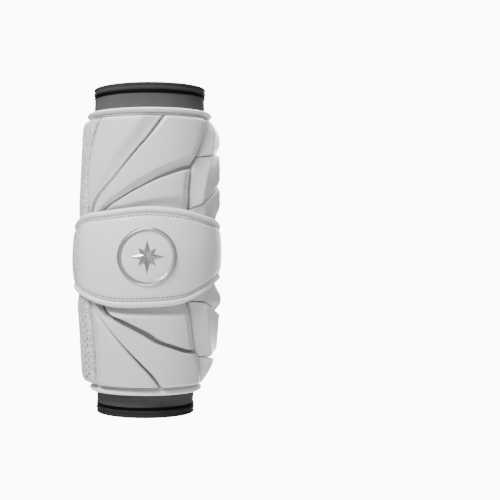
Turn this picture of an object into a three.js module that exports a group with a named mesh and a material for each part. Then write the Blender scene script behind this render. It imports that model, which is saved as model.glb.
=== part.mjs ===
// A lacrosse arm pad, upright and in the shape that it has on an arm.
// The front of the pad faces -Y, its upper-arm end is up, and Z = 0 is the middle of its height.
// Each piece bends round the arm: a place on it is an angle round the arm (0 at the front, 90 at
// the +X side, 180 at the back), a height, and a distance off the sleeve's outer face.

import * as THREE from "three";

// Sizes in millimetres.
const clearance = 0.45;
const facetRoom = 0.3;

const sleeveHalfWidth = 62;
const sleeveHalfDepth = 46;
const sleeveWall = 2;
const hemHeight = 11;
const hemWall = 3.4;
const hemProud = 1;

const capDrop = 7;
const capHalfHeight = 51;
const capThickness = 3;
const capDome = 4.5;
const capOverlap = 8;
const capReach = 122;
const pipingHeight = 9;
const pipingProud = 1;
const liningSideGap = 8;
const liningEndGap = 0.9;

const upperPadReach = 100;
const lowerPadReach = 88.5;
const sleeveShowsAbove = 26.5;
const sleeveShowsBelow = 24;
const baseThickness = 3;
const upperPanelThickness = 8;
const lowerPanelThickness = 11;
const upperStripThickness = 6.8;
const lowerStripThickness = 10.8;
const upperSideThickness = 5.6;
const lowerSideThickness = 8;
const upperBolsterThickness = 11;
const lowerBolsterThickness = 16;
const bandHeight = 8;
const bandThickness = 6;
const bandSideThickness = 2.8;
const grooveWidth = 1.6;
const wideGrooveWidth = 4;
const wingEdgeThickness = 1.6;
const bolsterReach = 112;

const flapThickness = 2.2;
const upperFlapRise = 8;
const lowerFlapRise = 10;
const bindingWidth = 7;
const bindingProud = 0.6;

const strapThickness = 1.6;
const upperStrapWidth = 49.5;
const upperStrapDrop = 20;
const lowerStrapWidth = 31.7;
const lowerStrapLift = 30;
const strapEndAngle = 248;
const pullTabThickness = 2.4;

const medallionRadius = 29.3;
const medallionLift = 1;
const ringWidth = 3.6;
const ringHeight = 2.6;
const discThickness = 1.4;
const emblemRadius = 17;
const emblemHeight = 1.8;

const tabWidth = 20;
const tabThickness = 1.5;

// Heights that follow from those sizes.
const capCentre = -capDrop;
const upperPadTop = capCentre + capHalfHeight + upperPadReach;
const lowerPadBottom = capCentre - capHalfHeight - lowerPadReach;
const sleeveTop = upperPadTop + sleeveShowsAbove;
const sleeveBottom = lowerPadBottom - sleeveShowsBelow;
const flatRadius = (sleeveHalfWidth + sleeveHalfDepth) / 2;
const ringColumns = 36;

// The sleeve's section at shares of its height: shares of the half width and half depth, and how
// far its middle leans aside, as a share of the half width.
const sleeveSections = [
  { up: 0, width: 0.81, depth: 0.85, aside: -0.03 },
  { up: 0.25, width: 0.905, depth: 0.925, aside: -0.015 },
  { up: 0.5, width: 1, depth: 1, aside: 0 },
  { up: 0.75, width: 0.98, depth: 0.99, aside: 0.025 },
  { up: 1, width: 0.93, depth: 0.95, aside: 0.05 },
];

// The cap's edges round the arm, as shares of its half height from its middle.
const capEdges = [
  { around: -122, top: 0.8, bottom: -0.45 },
  { around: -90, top: 0.68, bottom: -0.64 },
  { around: -60, top: 0.86, bottom: -0.8 },
  { around: -30, top: 0.93, bottom: -0.96 },
  { around: 0, top: 1, bottom: -0.965 },
  { around: 30, top: 0.94, bottom: -0.895 },
  { around: 50, top: 0.84, bottom: -0.7 },
  { around: 70, top: 0.77, bottom: -0.53 },
  { around: 90, top: 0.68, bottom: -0.46 },
  { around: 122, top: 0.75, bottom: -0.45 },
];

// Seams, grooves and edges that cross a pad: the angle at shares of the pad's height.
const upperLines = {
  wingEdge: [
    { up: 0, around: -112 },
    { up: 0.1, around: -120 },
    { up: 0.4, around: -133 },
    { up: 0.65, around: -132 },
    { up: 0.85, around: -127 },
    { up: 1, around: -115 },
  ],
  leftSeam: [
    { up: 0, around: -59.5 },
    { up: 0.19, around: -60 },
    { up: 0.43, around: -62 },
    { up: 0.64, around: -59.5 },
    { up: 0.85, around: -54 },
    { up: 1, around: -48 },
  ],
  steepGroove: [
    { up: 0, around: -54 },
    { up: 0.18, around: -48.5 },
    { up: 0.39, around: -31 },
    { up: 0.65, around: -11.5 },
    { up: 0.78, around: -1.5 },
    { up: 1, around: 13 },
  ],
  flatGroove: [
    { up: 0, around: -51 },
    { up: 0.12, around: -36 },
    { up: 0.2, around: -22 },
    { up: 0.3, around: -4 },
    { up: 0.4, around: 12 },
    { up: 0.48, around: 27 },
    { up: 0.53, around: 41 },
  ],
  rightSeam: [
    { up: 0, around: 38 },
    { up: 0.26, around: 37 },
    { up: 0.395, around: 38 },
    { up: 0.505, around: 40 },
    { up: 0.585, around: 44 },
    { up: 0.71, around: 50.3 },
    { up: 0.95, around: 59.8 },
    { up: 1, around: 61 },
  ],
};

const lowerLines = {
  wingEdge: [
    { up: 0, around: -116 },
    { up: 0.06, around: -123 },
    { up: 0.3, around: -131 },
    { up: 0.6, around: -131 },
    { up: 0.85, around: -126 },
    { up: 1, around: -116 },
  ],
  leftSeam: [
    { up: 0, around: -54.5 },
    { up: 0.2, around: -53 },
    { up: 0.45, around: -53.5 },
    { up: 0.73, around: -55 },
    { up: 1, around: -58 },
  ],
  steepGroove: [
    { up: 0, around: 14.7 },
    { up: 0.137, around: 5.6 },
    { up: 0.268, around: -4.7 },
    { up: 0.456, around: -19 },
    { up: 0.63, around: -31.5 },
    { up: 0.77, around: -42.5 },
    { up: 0.87, around: -49 },
    { up: 1, around: -53.5 },
  ],
  flatGroove: [
    { up: 0.33, around: 53 },
    { up: 0.345, around: 44 },
    { up: 0.433, around: 25.5 },
    { up: 0.512, around: 9.5 },
    { up: 0.62, around: -4.5 },
    { up: 0.747, around: -24.8 },
    { up: 0.8, around: -36 },
    { up: 0.87, around: -43.5 },
    { up: 1, around: -48.5 },
  ],
  rightSeam: [
    { up: 0, around: 66 },
    { up: 0.124, around: 64 },
    { up: 0.24, around: 59.5 },
    { up: 0.376, around: 50 },
    { up: 0.58, around: 45 },
    { up: 0.885, around: 39.3 },
    { up: 1, around: 38 },
  ],
};

// Where one bolster block stops and the next starts, at the seam and at the rear edge, as shares
// of the pad's height.
const upperBlockCuts = [
  { seam: 0, rear: 0 },
  { seam: 0.1, rear: 0.58 },
  { seam: 0.62, rear: 0.76 },
  { seam: 1, rear: 1 },
];
const lowerBlockCuts = [
  { seam: 0, rear: 0 },
  { seam: 0.27, rear: 0.17 },
  { seam: 0.89, rear: 0.46 },
  { seam: 1, rear: 1 },
];

// Where the rows of a pad's blocks lie, for each block from the cap to the pad's end.
const blockRows = [
  [0, 0.15, 0.32, 0.75, 1],
  [0, 0.08, 0.5, 0.92, 1],
  [0, 0.4, 0.7, 0.92, 1],
];

// A bolster block's height off the pad, as a share of the bolster thickness, from seam to rear.
const blockRidge = [
  { across: 0, height: 0.46 },
  { across: 0.12, height: 0.72 },
  { across: 0.26, height: 0.95 },
  { across: 0.6, height: 1 },
  { across: 0.85, height: 0.88 },
  { across: 1, height: 0.66 },
];

// The free edge of each flap, from its lower root to its upper one: the angle, and the height as a
// share of the flap's own height.
const upperFlapEdge = [
  { along: 0, around: 116, up: 0 },
  { along: 0.1, around: 128, up: 0.005 },
  { along: 0.2, around: 145, up: 0.05 },
  { along: 0.3, around: 158, up: 0.13 },
  { along: 0.4, around: 169, up: 0.24 },
  { along: 0.5, around: 177, up: 0.42 },
  { along: 0.64, around: 178, up: 0.66 },
  { along: 0.76, around: 176.5, up: 0.82 },
  { along: 0.84, around: 169, up: 0.91 },
  { along: 0.9, around: 157, up: 0.975 },
  { along: 0.96, around: 137, up: 1 },
  { along: 1, around: 116, up: 0.985 },
];
const lowerFlapEdge = [
  { along: 0, around: 116, up: 0.01 },
  { along: 0.07, around: 135, up: 0 },
  { along: 0.14, around: 157, up: 0.05 },
  { along: 0.22, around: 173, up: 0.16 },
  { along: 0.33, around: 180, up: 0.33 },
  { along: 0.5, around: 179.5, up: 0.58 },
  { along: 0.63, around: 172, up: 0.76 },
  { along: 0.78, around: 155, up: 0.9 },
  { along: 0.9, around: 136, up: 0.985 },
  { along: 1, around: 116, up: 1 },
];

// How far a flap lies off the sleeve, as a share of its rise at the root.
const flapFall = [
  { around: 112, rise: 1 },
  { around: 125, rise: 0.66 },
  { around: 140, rise: 0.3 },
  { around: 155, rise: 0.08 },
  { around: 170, rise: 0 },
];

// The fastened end of each strap, from its lower edge to its upper one: angles past the bolster's
// rear edge.
const upperStrapEnd = [
  { up: 0, pastBolster: 19 },
  { up: 0.12, pastBolster: 11 },
  { up: 0.45, pastBolster: 5 },
  { up: 0.9, pastBolster: 2 },
  { up: 1, pastBolster: 5 },
];
const lowerStrapEnd = [
  { up: 0, pastBolster: 24 },
  { up: 1, pastBolster: 7 },
];
const pullTabEnd = [
  { up: 0, pastBolster: 7 },
  { up: 0.2, pastBolster: 2.5 },
  { up: 0.6, pastBolster: 2 },
  { up: 1, pastBolster: 3.5 },
];

// The side tabs: the angles of their two ends and the height of their middle over the cap's.
const sideTabs = [
  { name: "side_tab_right", sleeveEnd: 131, capEnd: 111, height: 13 },
  { name: "side_tab_left", sleeveEnd: -128, capEnd: -110, height: 4 },
];

// Colours and finishes.
const finishes = {
  knit: { color: 0x5c5c5e, roughness: 0.95, metalness: 0 },
  hem: { color: 0x2e2e30, roughness: 0.9, metalness: 0 },
  leather: { color: 0xd9d9da, roughness: 0.55, metalness: 0 },
  binding: { color: 0xe9e9ea, roughness: 0.7, metalness: 0 },
  loop: { color: 0xdcdedd, roughness: 1, metalness: 0 },
  elastic: { color: 0xe4e6e4, roughness: 0.9, metalness: 0 },
  lining: { color: 0x161617, roughness: 0.95, metalness: 0 },
  silver: { color: 0xb9babc, roughness: 0.3, metalness: 0.8 },
};

// Shares of a length, in equal steps.
function evenly(steps) {
  return Array.from({ length: steps + 1 }, (_, step) => step / steps);
}

// Shares of a length, with a narrow step at each end for a rounded edge.
function rimmed(steps, rim) {
  const middle = evenly(steps).map((share) => THREE.MathUtils.lerp(rim, 1 - rim, share));
  return [0, ...middle, 1];
}

// One column of a table at a place between its rows, on a smooth curve through them.
function read(table, key, column, at) {
  const last = table.length - 1;
  const place = THREE.MathUtils.clamp(at, table[0][key], table[last][key]);
  const next = Math.max(1, table.findIndex((row) => row[key] >= place));
  const slope = (row) => {
    const before = table[Math.max(row - 1, 0)];
    const after = table[Math.min(row + 1, last)];
    return (after[column] - before[column]) / (after[key] - before[key]);
  };
  const start = table[next - 1];
  const end = table[next];
  const width = end[key] - start[key];
  const t = (place - start[key]) / width;
  const bend = (slope(next - 1) * (1 - t) - slope(next) * t) * width;
  const straight = end[column] - start[column];
  const pull = t * (1 - t) * (bend - straight * (1 - 2 * t));
  return start[column] + straight * t + pull;
}

// A point at an angle round the arm, a height, and a distance off the sleeve's outer face.
function pointAt(angle, height, offset) {
  const up = (height - sleeveBottom) / (sleeveTop - sleeveBottom);
  const a = sleeveHalfWidth * read(sleeveSections, "up", "width", up);
  const b = sleeveHalfDepth * read(sleeveSections, "up", "depth", up);
  const aside = sleeveHalfWidth * read(sleeveSections, "up", "aside", up);
  const turn = THREE.MathUtils.degToRad(angle);
  const normal = new THREE.Vector2(b * Math.sin(turn), -a * Math.cos(turn)).normalize();
  const x = aside + a * Math.sin(turn) + offset * normal.x;
  const y = -b * Math.cos(turn) + offset * normal.y;
  return new THREE.Vector3(x, y, height);
}

// A width along the surface, as an angle round the arm.
function asAngle(width) {
  return THREE.MathUtils.radToDeg(width / flatRadius);
}

function geometryOf(points, triangles) {
  const geometry = new THREE.BufferGeometry();
  geometry.setAttribute("position", new THREE.Float32BufferAttribute(points.flatMap((p) => p.toArray()), 3));
  geometry.setIndex(triangles.flat());
  geometry.computeVertexNormals();
  return geometry;
}

// Two triangles for a quad whose corners run anticlockwise, seen from outside. They part along its
// shorter diagonal, which keeps slanted quads close to the curve.
function quad(points, a, b, c, d) {
  if (points[a].distanceTo(points[c]) <= points[b].distanceTo(points[d])) {
    return [
      [a, b, c],
      [a, c, d],
    ];
  }
  return [
    [a, b, d],
    [b, c, d],
  ];
}

// A closed slab that bends round the arm. place gives the angle and height at a share across and a
// share up; inner and outer give its two faces' distances off the sleeve there.
function slab({ across, up, place, inner, outer }) {
  const columns = across.length;
  const rows = up.length;
  const points = [];
  for (const face of [outer, inner]) {
    for (const v of up) {
      for (const u of across) {
        const [angle, height] = place(u, v);
        points.push(pointAt(angle, height, face(u, v, angle, height)));
      }
    }
  }
  const out = (i, j) => j * columns + i;
  const back = (i, j) => columns * rows + j * columns + i;
  const triangles = [];
  for (let j = 0; j < rows - 1; j += 1) {
    for (let i = 0; i < columns - 1; i += 1) {
      triangles.push(...quad(points, out(i, j), out(i + 1, j), out(i + 1, j + 1), out(i, j + 1)));
      triangles.push(...quad(points, back(i, j), back(i, j + 1), back(i + 1, j + 1), back(i + 1, j)));
    }
    const end = columns - 1;
    triangles.push(...quad(points, back(0, j), out(0, j), out(0, j + 1), back(0, j + 1)));
    triangles.push(...quad(points, out(end, j), back(end, j), back(end, j + 1), out(end, j + 1)));
  }
  for (let i = 0; i < columns - 1; i += 1) {
    const top = rows - 1;
    triangles.push(...quad(points, back(i, 0), back(i + 1, 0), out(i + 1, 0), out(i, 0)));
    triangles.push(...quad(points, out(i, top), out(i + 1, top), back(i + 1, top), back(i, top)));
  }
  return geometryOf(points, triangles);
}

// A closed solid swept through loops of points, each with as many points as the last. A loop runs
// up its outer side and down its inner one, and the loops follow in the direction of +X at the
// front. Where the sweep doesn't close on itself, its first and last loop are capped.
function swept(loops, closes) {
  const points = loops.flat();
  const count = loops[0].length;
  const last = count - 1;
  const triangles = [];
  const spans = closes ? loops.length : loops.length - 1;
  for (let i = 0; i < spans; i += 1) {
    const here = i * count;
    const next = ((i + 1) % loops.length) * count;
    for (let j = 0; j < count; j += 1) {
      const above = (j + 1) % count;
      triangles.push(...quad(points, here + j, next + j, next + above, here + above));
    }
  }
  if (!closes) {
    const end = (loops.length - 1) * count;
    for (let j = 0; j < last - 1; j += 1) {
      triangles.push([last, j, j + 1]);
      triangles.push([end + last, end + j + 1, end + j]);
    }
  }
  return geometryOf(points, triangles);
}

// A ring round the whole arm, from its section as a loop of heights and distances off the sleeve.
function ringRoundArm(section) {
  const loops = evenly(ringColumns)
    .slice(1)
    .map((share) => section.map(({ height, offset }) => pointAt(360 * share, height, offset)));
  return swept(loops, true);
}

// A narrow ribbon that bends round the arm. place and the two faces are as for a slab, and its
// inner face is plain from edge to edge.
function ribbon({ across, up, place, inner, outer }) {
  const spot = (u, v, face) => {
    const [angle, height] = place(u, v);
    return pointAt(angle, height, face(u, v, angle, height));
  };
  const loops = across.map((u) => [
    ...up.map((v) => spot(u, v, outer)),
    spot(u, 1, inner),
    spot(u, 0, inner),
  ]);
  return swept(loops, false);
}

// A factor that falls to `edge` at both ends of a share and is 1 over its middle.
function rounded(share, rim, edge) {
  const depth = Math.min(share, 1 - share) / rim;
  return depth >= 1 ? 1 : 1 - (1 - edge) * (1 - depth) ** 2;
}

// The cap's upper and lower edge at an angle.
function capTop(angle) {
  return capCentre + capHalfHeight * read(capEdges, "around", "top", angle);
}

function capBottom(angle) {
  return capCentre + capHalfHeight * read(capEdges, "around", "bottom", angle);
}

// The two pads, and the height of each pad's field between its edge band and the cap.
const panelInner = clearance + baseThickness + clearance + facetRoom;

const upperPad = {
  name: "upper_pad",
  lines: upperLines,
  cuts: upperBlockCuts,
  panelThickness: upperPanelThickness,
  stripThickness: upperStripThickness,
  sideThickness: upperSideThickness,
  endTaper: 0.15,
  cornerGrid: [9, 5],
  bolsterThickness: upperBolsterThickness,
  capShare: 0,
  low: (angle) => capTop(angle) - capOverlap,
  high: () => upperPadTop - bandHeight - clearance,
  bandLow: upperPadTop - bandHeight,
};

const lowerPad = {
  name: "lower_pad",
  lines: lowerLines,
  cuts: lowerBlockCuts,
  panelThickness: lowerPanelThickness,
  stripThickness: lowerStripThickness,
  sideThickness: lowerSideThickness,
  endTaper: 0.25,
  cornerGrid: [8, 6],
  bolsterThickness: lowerBolsterThickness,
  capShare: 1,
  low: () => lowerPadBottom + bandHeight + clearance,
  high: (angle) => capBottom(angle) + capOverlap,
  bandLow: lowerPadBottom,
};

function padHeight(pad, angle, up) {
  return THREE.MathUtils.lerp(pad.low(angle), pad.high(angle), up);
}

function padLine(pad, line, up) {
  return read(pad.lines[line], "up", "around", up);
}

function padShare(pad, angle, height) {
  return (height - pad.low(angle)) / (pad.high(angle) - pad.low(angle));
}

// How thick a pad is under the cap's edge: slimmer at the arm's sides than at its front.
function underCap(pad, angle) {
  const side = THREE.MathUtils.smoothstep(Math.abs(angle), 45, 75);
  return THREE.MathUtils.lerp(pad.panelThickness, pad.sideThickness, side);
}

// A pad's thickness at a share of its height: full in the open, and what the cap leaves under it.
function slimmed(pad, angle, up, full) {
  const clear = THREE.MathUtils.smoothstep(Math.abs(up - pad.capShare), 0.08, 0.24);
  return THREE.MathUtils.lerp(underCap(pad, angle), full, clear);
}

// The outer face of a pad's edge strip: full over the side, thin at the wing's edge.
function stripOuter(pad, angle, up) {
  const edge = padLine(pad, "wingEdge", up);
  const thick = THREE.MathUtils.smoothstep(angle, edge, -80);
  const full = slimmed(pad, angle, up, pad.stripThickness);
  return panelInner + THREE.MathUtils.lerp(wingEdgeThickness, full, thick);
}

// The layer that lies on the sleeve. Its columns stand straight, and only those near the wing's
// edge lean with it.
function padBase(pad) {
  const furthest = Math.min(...pad.lines.wingEdge.map((row) => row.around));
  const place = (u, v) => {
    const lean = (padLine(pad, "wingEdge", v) - furthest) * (1 - u) ** 6;
    const angle = THREE.MathUtils.lerp(furthest, bolsterReach, u) + lean;
    return [angle, padHeight(pad, angle, v)];
  };
  const inner = () => clearance + facetRoom / 2;
  const outer = () => clearance + facetRoom / 2 + baseThickness;
  return slab({ across: evenly(25), up: evenly(5), place, inner, outer });
}

// A place between four edge curves, at a share across and a share up. The curves and the place are
// pairs of an angle and a share of the pad's height.
function between({ left, right, low, high }, u, v) {
  return [0, 1].map((part) => {
    const sideways = THREE.MathUtils.lerp(left(v)[part], right(v)[part], u);
    const upwards = THREE.MathUtils.lerp(low(u)[part], high(u)[part], v);
    const lowCorners = THREE.MathUtils.lerp(low(0)[part], low(1)[part], u);
    const highCorners = THREE.MathUtils.lerp(high(0)[part], high(1)[part], u);
    return sideways + upwards - THREE.MathUtils.lerp(lowCorners, highCorners, v);
  });
}

// A stuffed panel between four edge curves.
function padPanel(pad, edges, columns, rows) {
  const place = (u, v) => {
    const [angle, up] = between(edges, u, v);
    return [angle, padHeight(pad, angle, up)];
  };
  const inner = () => panelInner;
  const outer = (u, v, angle, height) => {
    const full = slimmed(pad, angle, padShare(pad, angle, height), pad.panelThickness);
    return panelInner + full * rounded(u, 0.14, 0.55) * rounded(v, 0.12, 0.55);
  };
  return slab({ across: rimmed(columns, 0.06), up: rimmed(rows, 0.05), place, inner, outer });
}

// The pad's three panels. The middle one lies between both grooves, and the corner one between the
// flat groove, the bolster's seam and the cap.
function panelEdges(pad) {
  const half = grooveWidth / 2;
  const onLine = (name, shift, from, to) => (share) => {
    const up = THREE.MathUtils.lerp(from, to, share);
    return [padLine(pad, name, up) + asAngle(shift), up];
  };
  const level = (start, end) => (share) => {
    return [THREE.MathUtils.lerp(start[0], end[0], share), THREE.MathUtils.lerp(start[1], end[1], share)];
  };
  const closed = (left, right, low, high) => ({
    left,
    right,
    low: low ?? level(left(0), right(0)),
    high: high ?? level(left(1), right(1)),
  });
  const flat = pad.lines.flatGroove;
  const first = flat[0].up;
  const last = flat.at(-1).up;
  const atCap = pad.capShare === 0;
  const kink = atCap ? last : first;
  const outer = closed(onLine("leftSeam", half, 0, 1), onLine("steepGroove", -half, 0, 1));
  const steep = onLine("steepGroove", half, 0, 1);
  const middle = atCap
    ? closed(steep, onLine("rightSeam", -half, kink, 1), onLine("flatGroove", -half, 0, kink))
    : closed(steep, onLine("rightSeam", -half, 0, kink), undefined, onLine("flatGroove", -half, 1, kink));
  const ends = atCap ? [0, kink - 0.03] : [kink + 0.03, 1];
  const corner = closed(
    onLine("flatGroove", wideGrooveWidth - half, ...ends),
    onLine("rightSeam", -half, ...ends),
  );
  return { outer, middle, corner };
}

function edgeStrip(pad) {
  const place = (u, v) => {
    const seam = padLine(pad, "leftSeam", v) - asAngle(grooveWidth) / 2;
    const angle = THREE.MathUtils.lerp(padLine(pad, "wingEdge", v), seam, u);
    return [angle, padHeight(pad, angle, v)];
  };
  const inner = () => panelInner;
  const outer = (u, v, angle) => {
    const thickness = stripOuter(pad, angle, v) - panelInner;
    return panelInner + thickness * (u > 0.5 ? rounded(u, 0.12, 0.75) : 1) * rounded(v, 0.1, 0.6);
  };
  return slab({ across: rimmed(7, 0.05), up: rimmed(4, 0.06), place, inner, outer });
}

// The rolled band along the pad's free edge, with a fold line along its middle.
function edgeBand(pad) {
  const start = padLine(pad, "wingEdge", 1 - pad.capShare);
  const place = (u, v) => [THREE.MathUtils.lerp(start, bolsterReach, u), pad.bandLow + bandHeight * v];
  const inner = () => clearance;
  const outer = (u, v, angle) => {
    const fade = angle < -80 ? THREE.MathUtils.smoothstep(angle, start, -80) : 1;
    const side = THREE.MathUtils.smoothstep(Math.abs(angle), 50, 85);
    const thickness = THREE.MathUtils.lerp(bandThickness, bandSideThickness, side);
    const full = panelInner + THREE.MathUtils.lerp(wingEdgeThickness, thickness, fade);
    return full - 1.6 * (1 - rounded(v, 0.3, 0)) - 0.8 * (v === 0.5 ? 1 : 0);
  };
  return ribbon({ across: evenly(25), up: [0, 0.25, 0.5, 0.75, 1], place, inner, outer });
}

// One block of the bolster down the pad's +X side. The last one slopes down to the edge band.
function bolsterBlock(pad, index) {
  const low = pad.cuts[index];
  const high = pad.cuts[index + 1];
  const gap = grooveWidth / (2 * (pad.high(90) - pad.low(90)));
  const place = (u, v) => {
    const bottom = THREE.MathUtils.lerp(low.seam, low.rear, u) + (index > 0 ? gap : 0);
    const top = THREE.MathUtils.lerp(high.seam, high.rear, u) - (index < pad.cuts.length - 2 ? gap : 0);
    const up = THREE.MathUtils.lerp(bottom, top, v);
    const seam = padLine(pad, "rightSeam", up) + asAngle(grooveWidth) / 2;
    const angle = THREE.MathUtils.lerp(seam, bolsterReach, u);
    return [angle, padHeight(pad, angle, up)];
  };
  const inner = () => panelInner;
  const outer = (u, v, angle, height) => {
    const up = padShare(pad, angle, height);
    const full = slimmed(pad, angle, up, pad.bolsterThickness);
    const fromEnd = Math.min(Math.abs(up - 1 + pad.capShare) / pad.endTaper, 1);
    const taper = THREE.MathUtils.lerp(0.25, 1, Math.sin((Math.PI / 2) * fromEnd));
    return panelInner + full * taper * read(blockRidge, "across", "height", u) * rounded(v, 0.25, 0.72);
  };
  const rows = pad.capShare === 0 ? blockRows[index] : blockRows.at(-1 - index).map((share) => 1 - share).reverse();
  return slab({ across: rimmed(7, 0.05), up: rows, place, inner, outer });
}

// The flaps: where each starts and ends, and how far it rises off the sleeve at its root.
const upperFlap = {
  name: "upper_flap",
  edge: upperFlapEdge,
  rise: upperFlapRise,
  low: capTop(bolsterReach) + clearance,
  high: upperPadTop,
};

const lowerFlap = {
  name: "lower_flap",
  edge: lowerFlapEdge,
  rise: lowerFlapRise,
  low: lowerPadBottom,
  high: capBottom(bolsterReach) - clearance,
};

function flapInner(flap, angle) {
  return clearance + flap.rise * read(flapFall, "around", "rise", angle);
}

// A point of the flap's free edge, moved in from the edge by a width.
function flapEdge(flap, along, inset) {
  const at = (share) => {
    const angle = read(flap.edge, "along", "around", share);
    const height = THREE.MathUtils.lerp(flap.low, flap.high, read(flap.edge, "along", "up", share));
    return new THREE.Vector2(THREE.MathUtils.degToRad(angle) * flatRadius, height);
  };
  const step = 0.02;
  const along2 = at(Math.min(along + step, 1)).sub(at(Math.max(along - step, 0))).normalize();
  const spot = at(along).add(new THREE.Vector2(-along2.y, along2.x).multiplyScalar(inset));
  return [THREE.MathUtils.radToDeg(spot.x / flatRadius), spot.y];
}

function flapCloth(flap) {
  const root = bolsterReach + asAngle(clearance * 2);
  const place = (u, v) => {
    const inset = bindingWidth + clearance;
    const [edgeAngle, edgeHeight] = flapEdge(flap, THREE.MathUtils.lerp(0.05, 0.95, v), inset);
    const rootHeight = THREE.MathUtils.lerp(flapEdge(flap, 0, inset)[1], flapEdge(flap, 1, inset)[1], v);
    const angle = THREE.MathUtils.lerp(root, Math.max(edgeAngle, root + 3), u);
    return [angle, THREE.MathUtils.lerp(rootHeight, edgeHeight, u)];
  };
  const inner = (u, v, angle) => flapInner(flap, angle);
  const outer = (u, v, angle) => flapInner(flap, angle) + flapThickness;
  return slab({ across: evenly(6), up: evenly(11), place, inner, outer });
}

function flapBinding(flap) {
  const place = (u, v) => {
    const [angle, height] = flapEdge(flap, 1 - u, bindingWidth * (1 - v));
    return [Math.max(angle, bolsterReach + asAngle(clearance * 2)), height];
  };
  const inner = (u, v, angle) => flapInner(flap, angle);
  const outer = (u, v, angle) => {
    return flapInner(flap, angle) + (flapThickness + bindingProud) * rounded(v, 0.3, 0.7);
  };
  return ribbon({ across: evenly(26), up: [0, 0.3, 0.7, 1], place, inner, outer });
}

// The distance off the sleeve of what a strap lies on: the flap, then air, then the wing.
function underStrap(pad, flap, angle, up) {
  const flapTop = flapInner(flap, angle) + flapThickness + bindingProud;
  const wingEdge = 360 + padLine(pad, "wingEdge", up);
  const wingTop = stripOuter(pad, angle - 360, up);
  if (angle >= wingEdge - 6) {
    return Math.max(flapTop, stripOuter(pad, Math.max(angle, wingEdge) - 360, up), wingTop);
  }
  const edgeTop = panelInner + wingEdgeThickness;
  return THREE.MathUtils.lerp(flapTop, edgeTop, THREE.MathUtils.smoothstep(angle, 180, wingEdge - 6));
}

// A strap from its fastened end on the flap to its sewn end on the wing.
function strap(pad, flap, low, width, endTable) {
  const place = (u, v) => {
    const end = bolsterReach + read(endTable, "up", "pastBolster", v);
    const angle = THREE.MathUtils.lerp(end, strapEndAngle, u);
    return [angle, low + width * v];
  };
  const inner = (u, v, angle, height) => {
    return underStrap(pad, flap, angle, padShare(pad, angle - 360, height)) + clearance;
  };
  const outer = (u, v, angle, height) => inner(u, v, angle, height) + strapThickness;
  return slab({ across: evenly(14), up: [0, 0.12, 0.5, 0.9, 1], place, inner, outer });
}

// The pull tab on the lower strap's end.
function pullTab(low) {
  const place = (u, v) => {
    const free = bolsterReach + read(pullTabEnd, "up", "pastBolster", v);
    const sewn = bolsterReach + read(lowerStrapEnd, "up", "pastBolster", v) - asAngle(clearance * 2);
    return [THREE.MathUtils.lerp(free, sewn, u), low + lowerStrapWidth * v];
  };
  const inner = (u, v, angle) => flapInner(lowerFlap, angle) + flapThickness + bindingProud + clearance;
  const outer = (u, v, angle) => inner(u, v, angle) + pullTabThickness;
  return slab({ across: evenly(3), up: evenly(4), place, inner, outer });
}

// The cap's inner face, at a share of its height: clear of both pads, and domed between them.
function capInner(angle, up) {
  const overPads = THREE.MathUtils.lerp(underCap(lowerPad, angle), underCap(upperPad, angle), up);
  const dome = capDome * (0.75 + 0.25 * Math.cos(THREE.MathUtils.degToRad(2 * angle)));
  return panelInner + overPads + clearance + dome * Math.sin(Math.PI * up);
}

function capShare(angle, height) {
  return (height - capBottom(angle)) / (capTop(angle) - capBottom(angle));
}

function capShell() {
  const place = (u, v) => {
    const angle = THREE.MathUtils.lerp(-capReach, capReach, u);
    const low = capBottom(angle) + pipingHeight + clearance;
    const high = capTop(angle) - pipingHeight - clearance;
    return [angle, THREE.MathUtils.lerp(low, high, v)];
  };
  const inner = (u, v, angle, height) => capInner(angle, capShare(angle, height));
  const outer = (u, v, angle, height) => inner(u, v, angle, height) + capThickness * rounded(u, 0.03, 0.5);
  return slab({ across: rimmed(25, 0.012), up: evenly(4), place, inner, outer });
}

// A rolled piping along the cap's upper or lower edge.
function capPiping(edgeAt, side) {
  const place = (u, v) => {
    const angle = THREE.MathUtils.lerp(-capReach, capReach, u);
    const inward = side > 0 ? 1 - v : v;
    return [angle, edgeAt(angle) - side * pipingHeight * inward];
  };
  const inner = (u, v, angle, height) => capInner(angle, capShare(angle, height));
  const outer = (u, v, angle, height) => {
    return inner(u, v, angle, height) + (capThickness + pipingProud) * rounded(v, 0.5, 0.45);
  };
  return ribbon({ across: evenly(25), up: [0, 0.25, 0.75, 1], place, inner, outer });
}

// The foam lining between the sleeve and the cap, which leaves the sleeve towards its two ends.
function capLining() {
  const reach = 112;
  const place = (u, v) => {
    const angle = THREE.MathUtils.lerp(-reach, reach, u);
    const low = lowerPad.high(angle) + liningEndGap;
    const high = upperPad.low(angle) - liningEndGap;
    return [angle, THREE.MathUtils.lerp(low, high, v)];
  };
  const inner = (u, v, angle) => {
    return clearance + liningSideGap * THREE.MathUtils.smoothstep(Math.abs(angle), 80, reach);
  };
  const outer = (u, v, angle, height) => capInner(angle, capShare(angle, height)) - clearance;
  return slab({ across: evenly(23), up: evenly(3), place, inner, outer });
}

// A point on the cap's face, from a distance sideways and up from the medallion's middle.
function onCap(x, z, lift) {
  const height = capCentre + medallionLift + z;
  const angle = THREE.MathUtils.radToDeg(Math.asin(x / (sleeveHalfWidth + sleeveHalfDepth / 3)));
  return pointAt(angle, height, capInner(angle, capShare(angle, height)) + capThickness + lift);
}

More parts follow.
